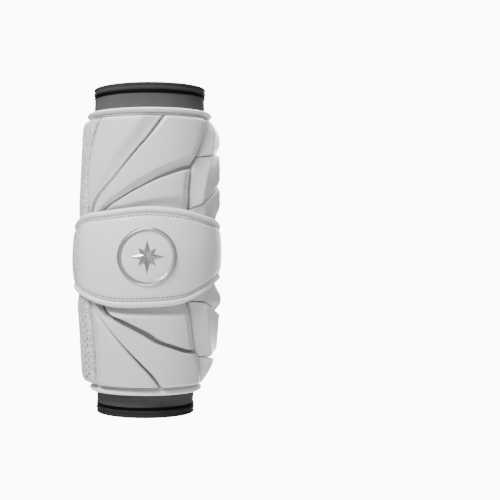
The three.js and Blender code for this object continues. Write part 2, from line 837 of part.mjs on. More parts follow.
// A round piece on the cap: rings of points on spokes round its middle, on its two faces.
function medallionFan({ spokes, shares, radius, lift, underside }) {
  const points = [onCap(0, 0, lift(0)), onCap(0, 0, underside)];
  const rings = shares.length;
  for (const face of [lift, () => underside]) {
    for (let i = 0; i < spokes; i += 1) {
      const turn = (2 * Math.PI * i) / spokes;
      for (const share of shares) {
        const reach = radius(i) * share;
        points.push(onCap(reach * Math.sin(turn), reach * Math.cos(turn), face(share)));
      }
    }
  }
  const top = (i, j) => 2 + (i % spokes) * rings + j;
  const under = (i, j) => 2 + spokes * rings + (i % spokes) * rings + j;
  const triangles = [];
  for (let i = 0; i < spokes; i += 1) {
    triangles.push([0, top(i + 1, 0), top(i, 0)]);
    triangles.push([1, under(i, 0), under(i + 1, 0)]);
    for (let j = 0; j < rings - 1; j += 1) {
      triangles.push(...quad(points, top(i, j), top(i + 1, j), top(i + 1, j + 1), top(i, j + 1)));
      triangles.push(...quad(points, under(i, j), under(i, j + 1), under(i + 1, j + 1), under(i + 1, j)));
    }
    const rim = rings - 1;
    triangles.push(...quad(points, top(i, rim), top(i + 1, rim), under(i + 1, rim), under(i, rim)));
  }
  return geometryOf(points, triangles);
}

function medallionDisc() {
  const inside = medallionRadius - ringWidth - clearance;
  const lift = () => clearance + discThickness;
  return medallionFan({ spokes: 20, shares: [0.5, 1], radius: () => inside, lift, underside: clearance });
}

// An eight-pointed star whose rays rise to a ridge.
function medallionEmblem() {
  const base = clearance + discThickness + clearance;
  const radius = (spoke) => emblemRadius * (spoke % 4 === 0 ? 1 : spoke % 2 === 0 ? 0.72 : 0.34);
  const lift = (share) => base + emblemHeight * (1 - 0.8 * share);
  return medallionFan({ spokes: 16, shares: [0.5, 1], radius, lift, underside: base });
}

// The bevelled ring round the disc.
function medallionRing() {
  const profile = [
    { inward: 0, lift: clearance },
    { inward: 0, lift: clearance + ringHeight * 0.55 },
    { inward: ringWidth * 0.4, lift: clearance + ringHeight },
    { inward: ringWidth, lift: clearance + ringHeight * 0.6 },
    { inward: ringWidth, lift: clearance },
  ];
  const loops = evenly(24)
    .slice(1)
    .map((share) => {
      const turn = -2 * Math.PI * share;
      return profile.map(({ inward, lift }) => {
        const reach = medallionRadius - inward;
        return onCap(reach * Math.sin(turn), reach * Math.cos(turn), lift);
      });
    });
  return swept(loops, true);
}

// A side tab from the sleeve up to the cap's lining.
function sideTab({ sleeveEnd, capEnd, height }) {
  const rise = liningSideGap - tabThickness - clearance;
  const left = Math.min(sleeveEnd, capEnd);
  const right = Math.max(sleeveEnd, capEnd);
  const low = capCentre + height - tabWidth / 2;
  const place = (u, v) => [THREE.MathUtils.lerp(left, right, u), low + tabWidth * v];
  const inner = (u, v, angle) => {
    return clearance + rise * THREE.MathUtils.smoothstep(Math.abs(sleeveEnd - angle), 2, 19) * 0.9;
  };
  const outer = (u, v, angle) => inner(u, v, angle) + tabThickness;
  return slab({ across: evenly(4), up: evenly(2), place, inner, outer });
}

function sleeveTube() {
  const low = sleeveBottom + hemHeight + clearance;
  const high = sleeveTop - hemHeight - clearance;
  const wall = (steps, offset) => {
    return evenly(steps).map((share) => ({ height: THREE.MathUtils.lerp(low, high, share), offset }));
  };
  const outside = wall(8, 0);
  const inside = wall(5, -sleeveWall).reverse();
  return ringRoundArm([...outside, ...inside]);
}

// A turned hem with two ridges, at the sleeve's upper or lower end.
function hem(low) {
  const profile = [
    { up: 0, proud: 0.3 },
    { up: 0.2, proud: 1 },
    { up: 0.5, proud: 0.2 },
    { up: 0.8, proud: 1 },
    { up: 1, proud: 0.3 },
  ];
  const outside = profile.map(({ up, proud }) => ({ height: low + hemHeight * up, offset: hemProud * proud }));
  const inside = [1, 0].map((up) => ({ height: low + hemHeight * up, offset: hemProud - hemWall }));
  return ringRoundArm([...outside, ...inside]);
}

const group = new THREE.Group();

function add(name, finish, geometry) {
  const mesh = new THREE.Mesh(geometry, new THREE.MeshStandardMaterial(finishes[finish]));
  mesh.name = name;
  group.add(mesh);
}

function addPad(pad) {
  const { outer, middle, corner } = panelEdges(pad);
  add(`${pad.name}_base`, "leather", padBase(pad));
  add(`${pad.name}_edge_strip`, "leather", edgeStrip(pad));
  add(`${pad.name}_outer_panel`, "leather", padPanel(pad, outer, 4, 6));
  add(`${pad.name}_middle_panel`, "leather", padPanel(pad, middle, 8, 6));
  add(`${pad.name}_corner_panel`, "leather", padPanel(pad, corner, ...pad.cornerGrid));
  add(`${pad.name}_edge_band`, "binding", edgeBand(pad));
  for (let index = 0; index < pad.cuts.length - 1; index += 1) {
    add(`${pad.name}_bolster_block_${index + 1}`, "leather", bolsterBlock(pad, index));
  }
}

function addFlap(flap) {
  add(flap.name, "loop", flapCloth(flap));
  add(`${flap.name}_binding`, "binding", flapBinding(flap));
}

add("sleeve", "knit", sleeveTube());
add("upper_hem", "hem", hem(sleeveTop - hemHeight));
add("lower_hem", "hem", hem(sleeveBottom));
addPad(upperPad);
addPad(lowerPad);
addFlap(upperFlap);
addFlap(lowerFlap);
add("elbow_cap", "leather", capShell());
add("elbow_cap_upper_piping", "binding", capPiping(capTop, 1));
add("elbow_cap_lower_piping", "binding", capPiping(capBottom, -1));
add("elbow_cap_lining", "lining", capLining());
add("medallion_ring", "silver", medallionRing());
add("medallion_disc", "leather", medallionDisc());
add("medallion_emblem", "silver", medallionEmblem());
const upperStrapLow = upperPadTop - upperStrapDrop - upperStrapWidth;
const lowerStrapLow = lowerPadBottom + lowerStrapLift;
add("upper_strap", "elastic", strap(upperPad, upperFlap, upperStrapLow, upperStrapWidth, upperStrapEnd));
add("lower_strap", "elastic", strap(lowerPad, lowerFlap, lowerStrapLow, lowerStrapWidth, lowerStrapEnd));
add("lower_strap_pull_tab", "elastic", pullTab(lowerStrapLow));
for (const tab of sideTabs) {
  add(tab.name, "hem", sideTab(tab));
}

export default group;
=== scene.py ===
# The looks of a lacrosse arm pad: its stuffed panels, straps, bindings, knit and stitching, built
# round the CAD frame. Places are an angle round the arm (0 at the front, 90 at the +X side, 180 at
# the back), a height, and a distance off the sleeve's outer face.
import math

import bpy
import numpy as np
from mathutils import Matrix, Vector
from mathutils.bvhtree import BVHTree


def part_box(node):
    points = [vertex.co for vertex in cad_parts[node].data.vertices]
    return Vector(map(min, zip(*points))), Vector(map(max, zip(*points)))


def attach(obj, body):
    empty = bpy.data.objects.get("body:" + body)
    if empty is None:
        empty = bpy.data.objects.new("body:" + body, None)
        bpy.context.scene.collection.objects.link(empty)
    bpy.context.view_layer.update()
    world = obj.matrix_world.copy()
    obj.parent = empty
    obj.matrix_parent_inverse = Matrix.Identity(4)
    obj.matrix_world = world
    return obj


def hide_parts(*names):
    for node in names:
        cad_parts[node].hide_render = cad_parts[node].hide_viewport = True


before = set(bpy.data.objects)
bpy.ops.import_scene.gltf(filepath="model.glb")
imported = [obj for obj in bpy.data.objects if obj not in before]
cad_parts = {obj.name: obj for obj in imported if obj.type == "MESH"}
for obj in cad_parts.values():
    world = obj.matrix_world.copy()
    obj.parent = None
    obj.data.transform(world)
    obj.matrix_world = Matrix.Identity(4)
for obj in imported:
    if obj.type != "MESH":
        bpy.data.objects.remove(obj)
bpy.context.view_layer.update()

MM = 0.001


def table(columns, *rows):
    """A table with named columns, as one array for each column."""
    return {name: np.array([row[i] for row in rows], float) for i, name in enumerate(columns.split())}


def heights(node):
    """The heights at which a CAD node begins and ends."""
    return [float(corner[2]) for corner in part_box(node)]


# Sizes in metres and angles in degrees, as in the CAD part.
CLEARANCE = 0.45 * MM
FACET_ROOM = 0.3 * MM
SLEEVE_HALF_WIDTH = 62 * MM
SLEEVE_HALF_DEPTH = 46 * MM
SLEEVE_WALL = 2 * MM
HEM_HEIGHT = 11 * MM
HEM_WALL = 3.4 * MM
BASE_THICKNESS = 3 * MM
BAND_HEIGHT = 8 * MM
BAND_THICKNESS = 6 * MM
BAND_SIDE_THICKNESS = 2.8 * MM
WING_EDGE_THICKNESS = 1.6 * MM
BOLSTER_REACH = 112
CAP_HALF_HEIGHT = 51 * MM
CAP_THICKNESS = 3 * MM
CAP_DOME = 4.5 * MM
CAP_OVERLAP = 8 * MM
CAP_REACH = 122
PIPING_HEIGHT = 9 * MM
LINING_REACH = 112
LINING_SIDE_GAP = 8 * MM
FLAP_THICKNESS = 2.2 * MM
BINDING_WIDTH = 7 * MM
BINDING_PROUD = 0.6 * MM
STRAP_THICKNESS = 1.6 * MM
STRAP_END_ANGLE = 248
SIDE_TAB_THICKNESS = 1.5 * MM
MEDALLION_RADIUS = 29.3 * MM
EMBLEM_RADIUS = 17 * MM

# Sizes of the looks. The CAD part has others for the groove, the pull tab and the ring.
GROOVE = 1.8 * MM
# The height of the near-black band along each hem's edge: painted shadow where hem and sleeve meet.
SHADOW_BAND_HEIGHT = 3.2 * MM
TUCK = 1 * MM
SEAM_RIDGE = 2.2
CAP_STRIP_SEAM = -64
CAP_SKIN = CAP_THICKNESS + 0.6 * MM
PULL_TAB_THICKNESS = 2.3 * MM
RING_WIDTH = 4.7 * MM
THREAD = 0.35 * MM
PROBE_HEIGHT = 40 * MM
TUBE_COLUMNS = 240

# Heights read from the frame, and what follows from the sizes.
SLEEVE_BOTTOM = heights("lower_hem")[0]
SLEEVE_TOP = heights("upper_hem")[1]
UPPER_PAD_TOP = heights("upper_pad_edge_band")[1]
LOWER_PAD_BOTTOM = heights("lower_pad_edge_band")[0]
CAP_CENTRE = heights("elbow_cap_upper_piping")[1] - CAP_HALF_HEIGHT
MEDALLION_HEIGHT = sum(heights("medallion_ring")) / 2
FLAT_RADIUS = (SLEEVE_HALF_WIDTH + SLEEVE_HALF_DEPTH) / 2
PANEL_INNER = CLEARANCE + BASE_THICKNESS + CLEARANCE + FACET_ROOM

SLEEVE_SECTIONS = table(
    "up width depth aside",
    (0, 0.81, 0.85, -0.03), (0.25, 0.905, 0.925, -0.015), (0.5, 1, 1, 0), (0.75, 0.98, 0.99, 0.025),
    (1, 0.93, 0.95, 0.05),
)
SEAM_ANGLES = (136, -122)
# Behind this angle the edge strips and bands thin out into the wing.
WING_START_ANGLE = -80
CAP_EDGES = table(
    "around top bottom",
    (-122, 0.8, -0.45), (-90, 0.68, -0.64), (-60, 0.86, -0.8), (-30, 0.93, -0.96), (0, 1, -0.965),
    (30, 0.94, -0.895), (50, 0.84, -0.7), (70, 0.77, -0.53), (90, 0.68, -0.46), (122, 0.75, -0.45),
)
# The pads' seams and grooves: angles at shares of the way up a pad.
UPPER_LINES = {
    "wing": table("up around", (0, -112), (0.1, -120), (0.4, -133), (0.65, -132), (0.85, -127), (1, -115)),
    "left": table("up around", (0, -59.5), (0.19, -60), (0.43, -62), (0.64, -59.5), (0.85, -54), (1, -48)),
    "steep": table("up around", (0, -54), (0.18, -48.5), (0.39, -31), (0.65, -11.5), (0.78, -1.5), (1, 13)),
    "flat": table(
        "up around", (0, -51), (0.12, -36), (0.2, -22), (0.3, -4), (0.4, 12), (0.48, 27), (0.53, 41)
    ),
    "right": table(
        "up around", (0, 38), (0.26, 37), (0.395, 38), (0.505, 40), (0.585, 44),
        (0.71, 50.3), (0.95, 59.8), (1, 61)
    ),
}
LOWER_LINES = {
    "wing": table("up around", (0, -116), (0.06, -123), (0.3, -131), (0.6, -131), (0.85, -126), (1, -116)),
    "left": table("up around", (0, -54.5), (0.2, -53), (0.45, -53.5), (0.73, -55), (1, -58)),
    "steep": table(
        "up around", (0, 14.7), (0.137, 5.6), (0.268, -4.7), (0.456, -19), (0.63, -31.5),
        (0.77, -42.5), (0.87, -49), (1, -53.5)
    ),
    "flat": table(
        "up around", (0.33, 53), (0.345, 44), (0.433, 25.5), (0.512, 9.5), (0.62, -4.5),
        (0.747, -24.8), (0.8, -36), (0.87, -43.5), (1, -48.5)
    ),
    "right": table(
        "up around", (0, 66), (0.124, 64), (0.24, 59.5), (0.376, 50), (0.58, 45), (0.885, 39.3), (1, 38)
    ),
}
# Where the bolsters are cut into blocks, as shares of the way up at their seam and at their rear.
UPPER_CUTS = table("seam rear", (0, 0), (0.1, 0.58), (0.62, 0.76), (1, 1))
LOWER_CUTS = table("seam rear", (0, 0), (0.27, 0.17), (0.89, 0.46), (1, 1))
# A bolster's section: ridges round the arm with their rise, as shares of its thickness.
BOLSTER_RIDGES = table("across rise", (0, 0.42), (0.2, 0.96), (0.6, 1), (1, 0.72))
UPPER_FLAP_EDGE = table(
    "along around up",
    (0, 116, 0), (0.1, 128, 0.005), (0.2, 145, 0.05), (0.3, 158, 0.13), (0.4, 169, 0.24), (0.5, 177, 0.42),
    (0.64, 178, 0.66), (0.76, 176.5, 0.82), (0.84, 169, 0.91), (0.9, 157, 0.975), (0.96, 137, 1),
    (1, 116, 0.985),
)
LOWER_FLAP_EDGE = table(
    "along around up",
    (0, 116, 0.01), (0.07, 135, 0), (0.14, 157, 0.05), (0.22, 173, 0.16), (0.33, 180, 0.33),
    (0.5, 179.5, 0.58), (0.63, 172, 0.76), (0.78, 155, 0.9), (0.9, 136, 0.985), (1, 116, 1),
)
FLAP_FALL = table("around rise", (112, 1), (125, 0.66), (140, 0.3), (155, 0.08), (170, 0))
# The fastened ends of the straps: angles past the bolster's rear edge.
UPPER_STRAP_END = table("up past", (0, 19), (0.12, 11), (0.45, 5), (0.9, 2), (1, 5))
LOWER_STRAP_END = table("up past", (0, 24), (1, 7))
PULL_TAB_END = table("up past", (0, 7), (0.2, 2.5), (0.6, 2), (1, 3.5))


# Plain maths
def lerp(start, end, share):
    return start + (end - start) * share


def smoothstep(low, high, value):
    t = np.clip((np.asarray(value, float) - low) / (high - low), 0, 1)
    return t * t * (3 - 2 * t)


def bulge(value, middle, spread):
    """A smooth hump: 1 in the middle, and next to nothing beyond twice its spread."""
    return np.exp(-(((value - middle) / spread) ** 2))


def arch(value, middle, half):
    """Half an ellipse: 1 in the middle, and 0 from half its width on."""
    return np.sqrt(np.clip(1 - ((value - middle) / half) ** 2, 0, 1))


def unit(vectors):
    return vectors / np.linalg.norm(vectors, axis=-1, keepdims=True)


def read(rows, key, name, at):
    """A column of a table at places between its rows, on a smooth curve through them."""
    xs = rows[key]
    ys = rows[name]
    at = np.clip(np.asarray(at, float), xs[0], xs[-1])
    slopes = np.empty_like(ys)
    slopes[1:-1] = (ys[2:] - ys[:-2]) / (xs[2:] - xs[:-2])
    slopes[0] = (ys[1] - ys[0]) / (xs[1] - xs[0])
    slopes[-1] = (ys[-1] - ys[-2]) / (xs[-1] - xs[-2])
    after = np.clip(np.searchsorted(xs, at), 1, len(xs) - 1)
    before = after - 1
    width = xs[after] - xs[before]
    t = (at - xs[before]) / width
    straight = ys[after] - ys[before]
    bend = (slopes[before] * (1 - t) - slopes[after] * t) * width
    return ys[before] + straight * t + t * (1 - t) * (bend - straight * (1 - 2 * t))


def even(steps):
    return np.linspace(0, 1, steps)


def rimmed(steps, rim=0.08, rim_steps=7):
    """Shares from 0 to 1, close together near both ends."""
    start = rim * (1 - np.cos(np.linspace(0, math.pi / 2, rim_steps)))
    middle = np.linspace(rim, 1 - rim, steps)
    return np.concatenate([start, middle[1:-1], 1 - start[::-1]])


def as_angle(width):
    return np.degrees(width / FLAT_RADIUS)


def as_width(angle):
    return np.radians(angle) * FLAT_RADIUS


def point_at(angle, height, offset):
    """Points at angles round the arm, heights, and distances off the sleeve's outer face."""
    angle, height, offset = np.broadcast_arrays(angle, height, offset)
    up = (height - SLEEVE_BOTTOM) / (SLEEVE_TOP - SLEEVE_BOTTOM)
    a = SLEEVE_HALF_WIDTH * read(SLEEVE_SECTIONS, "up", "width", up)
    b = SLEEVE_HALF_DEPTH * read(SLEEVE_SECTIONS, "up", "depth", up)
    aside = SLEEVE_HALF_WIDTH * read(SLEEVE_SECTIONS, "up", "aside", up)
    turn = np.radians(angle)
    normal_x = b * np.sin(turn)
    normal_y = -a * np.cos(turn)
    length = np.hypot(normal_x, normal_y)
    x = aside + a * np.sin(turn) + offset * normal_x / length
    y = -b * np.cos(turn) + offset * normal_y / length
    return np.stack([x, y, height], axis=-1)


def crest(distance, radius, edge):
    """A rounded edge: from `edge` at no distance to 1 at the radius."""
    near = 1 - np.clip(distance / radius, 0, 1)
    return edge + (1 - edge) * np.sqrt(np.clip(1 - near * near, 0, 1))


def rounded(run, **rims):
    """The crests of a slab's named edges together. Each has a radius in millimetres and a first rise."""
    rise = 1.0
    for side, (radius, edge) in rims.items():
        rise = rise * crest(run[side], radius * MM, edge)
    return rise


def valley(distance, width, depth, flat):
    """A slope that falls gently towards an edge, with a level strip of width `flat` beside it."""
    return 1 - depth * (1 - smoothstep(flat, width, distance))


def facet(distance, width, depth):
    """A straight slope that falls by `depth` towards an edge."""
    return 1 - depth * np.clip(1 - distance / width, 0, 1)


# Materials
class Finish:
    """A procedural material: a Principled shader with colour and relief worked out by nodes."""

    def __init__(self, name, color, roughness, gloss=0.4, metallic=0.0, sheen=0.0):
        self.material = bpy.data.materials.new(name)
        self.material.use_nodes = True
        self.nodes = self.material.node_tree.nodes
        self.links = self.material.node_tree.links
        self.inputs = self.nodes["Principled BSDF"].inputs
        self.color = (*color, 1)
        self.inputs["Base Color"].default_value = self.color
        self.inputs["Roughness"].default_value = roughness
        self.inputs["Metallic"].default_value = metallic
        self.inputs["Sheen Weight"].default_value = sheen
        self.inputs["Specular IOR Level"].default_value = gloss

    def node(self, kind, **inputs):
        node = self.nodes.new(kind)
        for key, value in inputs.items():
            self.put(node.inputs[key.replace("_", " ")], value)
        return node

    def put(self, socket, value):
        if isinstance(value, bpy.types.NodeSocket):
            self.links.new(value, socket)
        else:
            socket.default_value = value

    def maths(self, operation, *values):
        node = self.nodes.new("ShaderNodeMath")
        node.operation = operation
        for socket, value in zip(node.inputs, values):
            self.put(socket, value)
        return node.outputs[0]

    def mix(self, factor, first, second, blend="MIX"):
        node = self.nodes.new("ShaderNodeMix")
        node.data_type = "RGBA"
        node.blend_type = blend
        for number, value in ((0, factor), (6, first), (7, second)):
            self.put(node.inputs[number], value)
        return node.outputs[2]

    def ramp(self, value, low, high, start=0.0, end=1.0):
        """A smooth way from start to end while a value goes from low to high."""
        node = self.node(
            "ShaderNodeMapRange", Value=value, From_Min=low, From_Max=high, To_Min=start, To_Max=end
        )
        node.interpolation_type = "SMOOTHSTEP"
        return node.outputs["Result"]

    def place(self):
        return self.node("ShaderNodeTexCoord").outputs["Object"]

    def cloth(self):
        """The two coordinates along the cloth, in metres."""
        split = self.node("ShaderNodeSeparateXYZ", Vector=self.node("ShaderNodeTexCoord").outputs["UV"])
        return split.outputs["X"], split.outputs["Y"]

    def noise(self, scale, detail=3.0, roughness=0.5):
        node = self.node(
            "ShaderNodeTexNoise", Vector=self.place(), Scale=scale, Detail=detail, Roughness=roughness
        )
        return node.outputs["Fac"]

    def blotches(self, scale, detail=3.0):
        """Patches with fairly crisp borders, between 0 and 1."""
        return self.ramp(self.noise(scale, detail), 0.42, 0.58)

    def cells(self, scale):
        return self.node("ShaderNodeTexVoronoi", Vector=self.place(), Scale=scale).outputs["Distance"]

    def ribs(self, along, pitch):
        """Ridges between 0 and 1, a pitch apart."""
        turn = self.maths("MULTIPLY", along, 2 * math.pi / pitch)
        return self.maths("MULTIPLY_ADD", self.maths("SINE", turn), 0.5, 0.5)

    def dots(self, pitch_x, pitch_y, radius):
        """Staggered dots: 1 in a dot and 0 outside."""
        x, y = self.cloth()
        rows = self.maths("DIVIDE", y, pitch_y)
        odd = self.maths("MODULO", self.maths("ABSOLUTE", self.maths("FLOOR", rows)), 2.0)
        columns = self.maths("ADD", self.maths("DIVIDE", x, pitch_x), self.maths("MULTIPLY", odd, 0.5))
        squares = []
        for cells, pitch in ((columns, pitch_x), (rows, pitch_y)):
            aside = self.maths("MULTIPLY", self.maths("SUBTRACT", self.maths("FRACT", cells), 0.5), pitch)
            squares.append(self.maths("MULTIPLY", aside, aside))
        far = self.maths("SQRT", self.maths("ADD", *squares))
        return self.ramp(far, radius * 0.6, radius * 1.25, 1.0, 0.0)

    def tint(self, factor, darker, lighter=1.0):
        """Shades the colour between two shares of itself, by a factor from 0 to 1."""
        shade = self.mix(factor, (darker, darker, darker, 1), (lighter, lighter, lighter, 1))
        base = self.inputs["Base Color"]
        so_far = base.links[0].from_socket if base.is_linked else self.color
        self.links.new(self.mix(1.0, so_far, shade, "MULTIPLY"), base)

    def bump(self, height, strength, depth):
        node = self.node("ShaderNodeBump", Strength=strength, Distance=depth, Height=height)
        normal = self.inputs["Normal"]
        if normal.is_linked:
            self.links.new(normal.links[0].from_socket, node.inputs["Normal"])
        self.links.new(node.outputs["Normal"], normal)


def leather(name, color, roughness):
    finish = Finish(name, color, roughness, gloss=0.5)
    finish.tint(finish.noise(45), 0.965, 1.02)
    finish.bump(finish.cells(1500), 0.12, 0.25 * MM)
    finish.bump(finish.noise(260, 4), 0.1, 0.4 * MM)
    return finish.material


def knit():
    """Stretch knit with fine ribs round the arm, and others up it, a little aslant."""
    finish = Finish("knit", (0.07, 0.07, 0.072), 0.9, gloss=0.1)
    x, y = finish.cloth()
    aslant = finish.maths("ADD", x, finish.maths("MULTIPLY", y, 0.3))
    finish.tint(finish.noise(60, 4), 0.85, 1.12)
    finish.bump(finish.ribs(y, 1.15 * MM), 0.25, 0.3 * MM)
    finish.bump(finish.ribs(aslant, 1.3 * MM), 0.2, 0.25 * MM)
    return finish.material


def mesh_knit():
    """The sleeve's rear knit, with a small hole at each dot."""
    finish = Finish("mesh_knit", (0.036, 0.036, 0.037), 0.92, gloss=0.1)
    pitch = 3.3 * MM
    holes = finish.dots(4.0 * MM, pitch, 0.72 * MM)
    finish.tint(finish.noise(90, 4), 0.85, 1.15)
    # Each hole is painted darker: painted shade inside it.
    finish.tint(holes, 1.0, 0.5)
    finish.bump(finish.ribs(finish.cloth()[1], pitch), 0.3, 0.5 * MM)
    finish.bump(holes, 0.7, -0.6 * MM)
    return finish.material


def hem_elastic(name, color):
    finish = Finish(name, color, 0.8, gloss=0.12)
    finish.tint(finish.noise(80), 0.85, 1.15)
    finish.bump(finish.ribs(finish.cloth()[0], 1.4 * MM), 0.25, 0.25 * MM)
    return finish.material


def woven_elastic():
    finish = Finish("woven_elastic", (0.88, 0.89, 0.88), 0.85, gloss=0.15)
    x, y = finish.cloth()
    ribs = finish.ribs(y, 2.4 * MM)
    # The troughs between the ribs are painted darker: painted shade.
    finish.tint(ribs, 0.84, 1.02)
    finish.tint(finish.blotches(300, 4), 0.97, 1.01)
    finish.bump(ribs, 0.35, 0.35 * MM)
    finish.bump(finish.ribs(x, 0.9 * MM), 0.18, 0.2 * MM)
    return finish.material


def loop_cloth():
    finish = Finish("loop_cloth", (0.62, 0.63, 0.625), 1.0, gloss=0.1, sheen=0.1)
    finish.tint(finish.blotches(420, 5), 0.93, 1.04)
    finish.tint(finish.noise(900, 4, 0.7), 0.88, 1.1)
    finish.bump(finish.noise(1400, 5, 0.7), 0.5, 0.6 * MM)
    finish.bump(finish.noise(160), 0.25, 0.8 * MM)
    return finish.material


def binding_tape():
    finish = Finish("binding_tape", (0.8, 0.8, 0.805), 0.62, gloss=0.3)
    finish.tint(finish.noise(60), 0.96, 1.02)
    finish.bump(finish.ribs(finish.cloth()[0], 0.8 * MM), 0.12, 0.2 * MM)
    return finish.material


def spacer_mesh():
    """The mottled mesh of the edge strips."""
    finish = Finish("spacer_mesh", (0.66, 0.66, 0.665), 0.8)
    patches = finish.blotches(270)
    holes = finish.dots(2.5 * MM, 1.6 * MM, 0.55 * MM)
    finish.tint(patches, 0.81, 1.12)
    # Each hole is painted darker: painted shade inside it.
    finish.tint(holes, 1.0, 0.8)
    finish.bump(patches, 0.5, 0.7 * MM)
    finish.bump(holes, 0.5, -0.4 * MM)
    return finish.material


def foam_lining():
    finish = Finish("foam_lining", (0.004, 0.004, 0.0045), 0.9, gloss=0.05)
    finish.bump(finish.noise(500, 4), 0.4, 0.4 * MM)
    return finish.material


def silver():
    finish = Finish("silver", (0.46, 0.46, 0.47), 0.27, metallic=0.85)
    finish.tint(finish.noise(120), 0.9, 1.05)
    finish.bump(finish.noise(900, 2), 0.05, 0.1 * MM)
    return finish.material


def thread(name, color, gloss=0.4):
    finish = Finish(name, color, 0.7, gloss)
    finish.tint(finish.noise(900, 2), 0.85, 1.1)
    return finish.material


LEATHER = leather("leather", (0.67, 0.67, 0.677), 0.38)
# The cap and the medallion's disc are lighter than the panels' leather: painted light for the light from the
# front on the dome.
SMOOTH_LIT_LEATHER = leather("cap_leather", (0.78, 0.78, 0.786), 0.38)
# A darker copy of the leather for the backing, which shows only at the bottom of the grooves: painted shade
# in the grooves.
SHADED_BASE_LEATHER = leather("base_leather", (0.36, 0.36, 0.365), 0.6)
KNIT = knit()
MESH_KNIT = mesh_knit()
DARK_HEM = hem_elastic("dark_hem", (0.019, 0.019, 0.0195))
GREY_HEM = hem_elastic("grey_hem", (0.034, 0.034, 0.035))
ELASTIC = woven_elastic()
LOOP = loop_cloth()
BINDING = binding_tape()
SPACER = spacer_mesh()
FOAM = foam_lining()
SILVER = silver()
# Grey thread for stitches and the tab ring; also the grey ticks beside the zigzag, which are painted shadows.
GREY_THREAD_AND_SHADOW = thread("grey_thread", (0.3, 0.3, 0.305))
DARK_THREAD = thread("dark_thread", (0.1, 0.1, 0.1))
SLEEVE_THREAD = thread("sleeve_thread", (0.06, 0.06, 0.062))
WHITE_THREAD = thread("white_thread", (0.85, 0.85, 0.85))
# Dark grey for the perforations: painted shade inside the holes.
HOLE = thread("hole", (0.13, 0.13, 0.132))
# Near-black for the bands along the hems' edges: painted shadow where each hem meets the sleeve.
HEM_SHADOW_BLACK = thread("black_tape", (0.002, 0.002, 0.002), 0.05)


# Meshes
def finish_piece(obj, slot, *nodes):
    """Gives a piece its body, and hides the CAD nodes that it replaces."""
    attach(obj, "root")
    if nodes:
        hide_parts(*nodes)


def mesh_object(name, points, faces, material, uvs=None, sharp=40):
    mesh = bpy.data.meshes.new(name)
    mesh.from_pydata(np.asarray(points).tolist(), [], faces)
    if uvs is not None:
        layer = mesh.uv_layers.new(name="cloth")
        layer.data.foreach_set("uv", np.asarray(uvs, np.float32).ravel())
    mesh.materials.append(material)
    mesh.polygons.foreach_set("use_smooth", [True] * len(mesh.polygons))
    mesh.set_sharp_from_angle(angle=math.radians(sharp))
    mesh.update()
    obj = bpy.data.objects.new(name, mesh)
    bpy.context.scene.collection.objects.link(obj)
    return obj


def swept(name, points, material, uvs=None, closed=False, sharp=40):
    """A closed mesh through columns of points. Each column runs up the outer face and down the
    inner one, with as many points on both. Where the sweep isn't closed its ends are capped."""
    columns, count = points.shape[:2]
    if uvs is None:
        uvs = np.zeros((columns + 1, count, 2))
    index = np.arange(columns * count).reshape(columns, count)
    here = np.arange(columns if closed else columns - 1)
    following = (here + 1) % columns
    above = np.roll(index, -1, axis=1)
    quads = np.stack([index[here], index[following], above[following], above[here]], axis=-1)
    uv_above = np.roll(uvs, -1, axis=1)
    uv_quads = np.stack([uvs[here], uvs[here + 1], uv_above[here + 1], uv_above[here]], axis=2)
    faces = quads.reshape(-1, 4).tolist()
    loops = [uv_quads.reshape(-1, 2)]
    ends = () if closed else ((0, False), (columns - 1, True))
    for column, turned in ends:
        for k in range(count // 2 - 1):
            corners = [count - 1 - k, k, k + 1, count - 2 - k]
            if turned:
                corners.reverse()
            faces.append([int(index[column, c]) for c in corners])
            loops.append(uvs[column][corners])
    return mesh_object(name, points.reshape(-1, 3), faces, material, np.concatenate(loops), sharp)


def two_faced(name, top, bottom, angle, height, material, sharp=40):
    """A closed mesh between the grids of points of an outer and an inner face."""
    points = np.concatenate([top, bottom[::-1]], axis=0).transpose(1, 0, 2)
    uv = np.stack([as_width(angle), height], axis=-1)
    uvs = np.concatenate([uv, uv[::-1]], axis=0).transpose(1, 0, 2)
    return swept(name, points, material, uvs, sharp=sharp)


def run_lengths(points):
    """Distances along rows and columns of a grid of points from its four edges."""
    along = np.linalg.norm(np.diff(points, axis=1), axis=-1)
    upward = np.linalg.norm(np.diff(points, axis=0), axis=-1)
    left = np.concatenate([np.zeros((points.shape[0], 1)), np.cumsum(along, axis=1)], axis=1)
    low = np.concatenate([np.zeros((1, points.shape[1])), np.cumsum(upward, axis=0)], axis=0)
    return {"left": left, "right": left[:, -1:] - left, "low": low, "high": low[-1:] - low}


def slab(name, node, slot, material, grid, place, inner, thickness):
    """A curved slab on the arm in place of a CAD node. place gives its angles and heights, inner how
    far its inner face lies off the sleeve, and thickness how far the outer face lies above that one,
    by themselves or as functions."""
    u, v = np.meshgrid(*grid)
    angle, height = place(u, v)
    low = inner(angle, height) if callable(inner) else inner
    bottom = point_at(angle, height, low)
    thick = thickness(u, v, angle, height, run_lengths(bottom)) if callable(thickness) else thickness
    obj = two_faced(name, point_at(angle, height, low + thick), bottom, angle, height, material)
    finish_piece(obj, slot, node)
    return obj


def patch(start, end, low, high):
    """Places in a plain patch between two angles and two heights."""
    def place(u, v):
        return lerp(start, end, u), lerp(low, high, v)
    return place


def tube_round_arm(name, profile, material):
    """A ring round the arm from a closed profile of heights and offsets, up outside, down inside."""
    levels, offsets = np.array(profile).T
    angle, height = np.meshgrid(np.linspace(-180, 180, TUBE_COLUMNS + 1), levels, indexing="ij")
    points = point_at(angle, height, np.broadcast_to(offsets, angle.shape))
    return swept(name, points[:-1], material, np.stack([as_width(angle), height], axis=-1), closed=True)


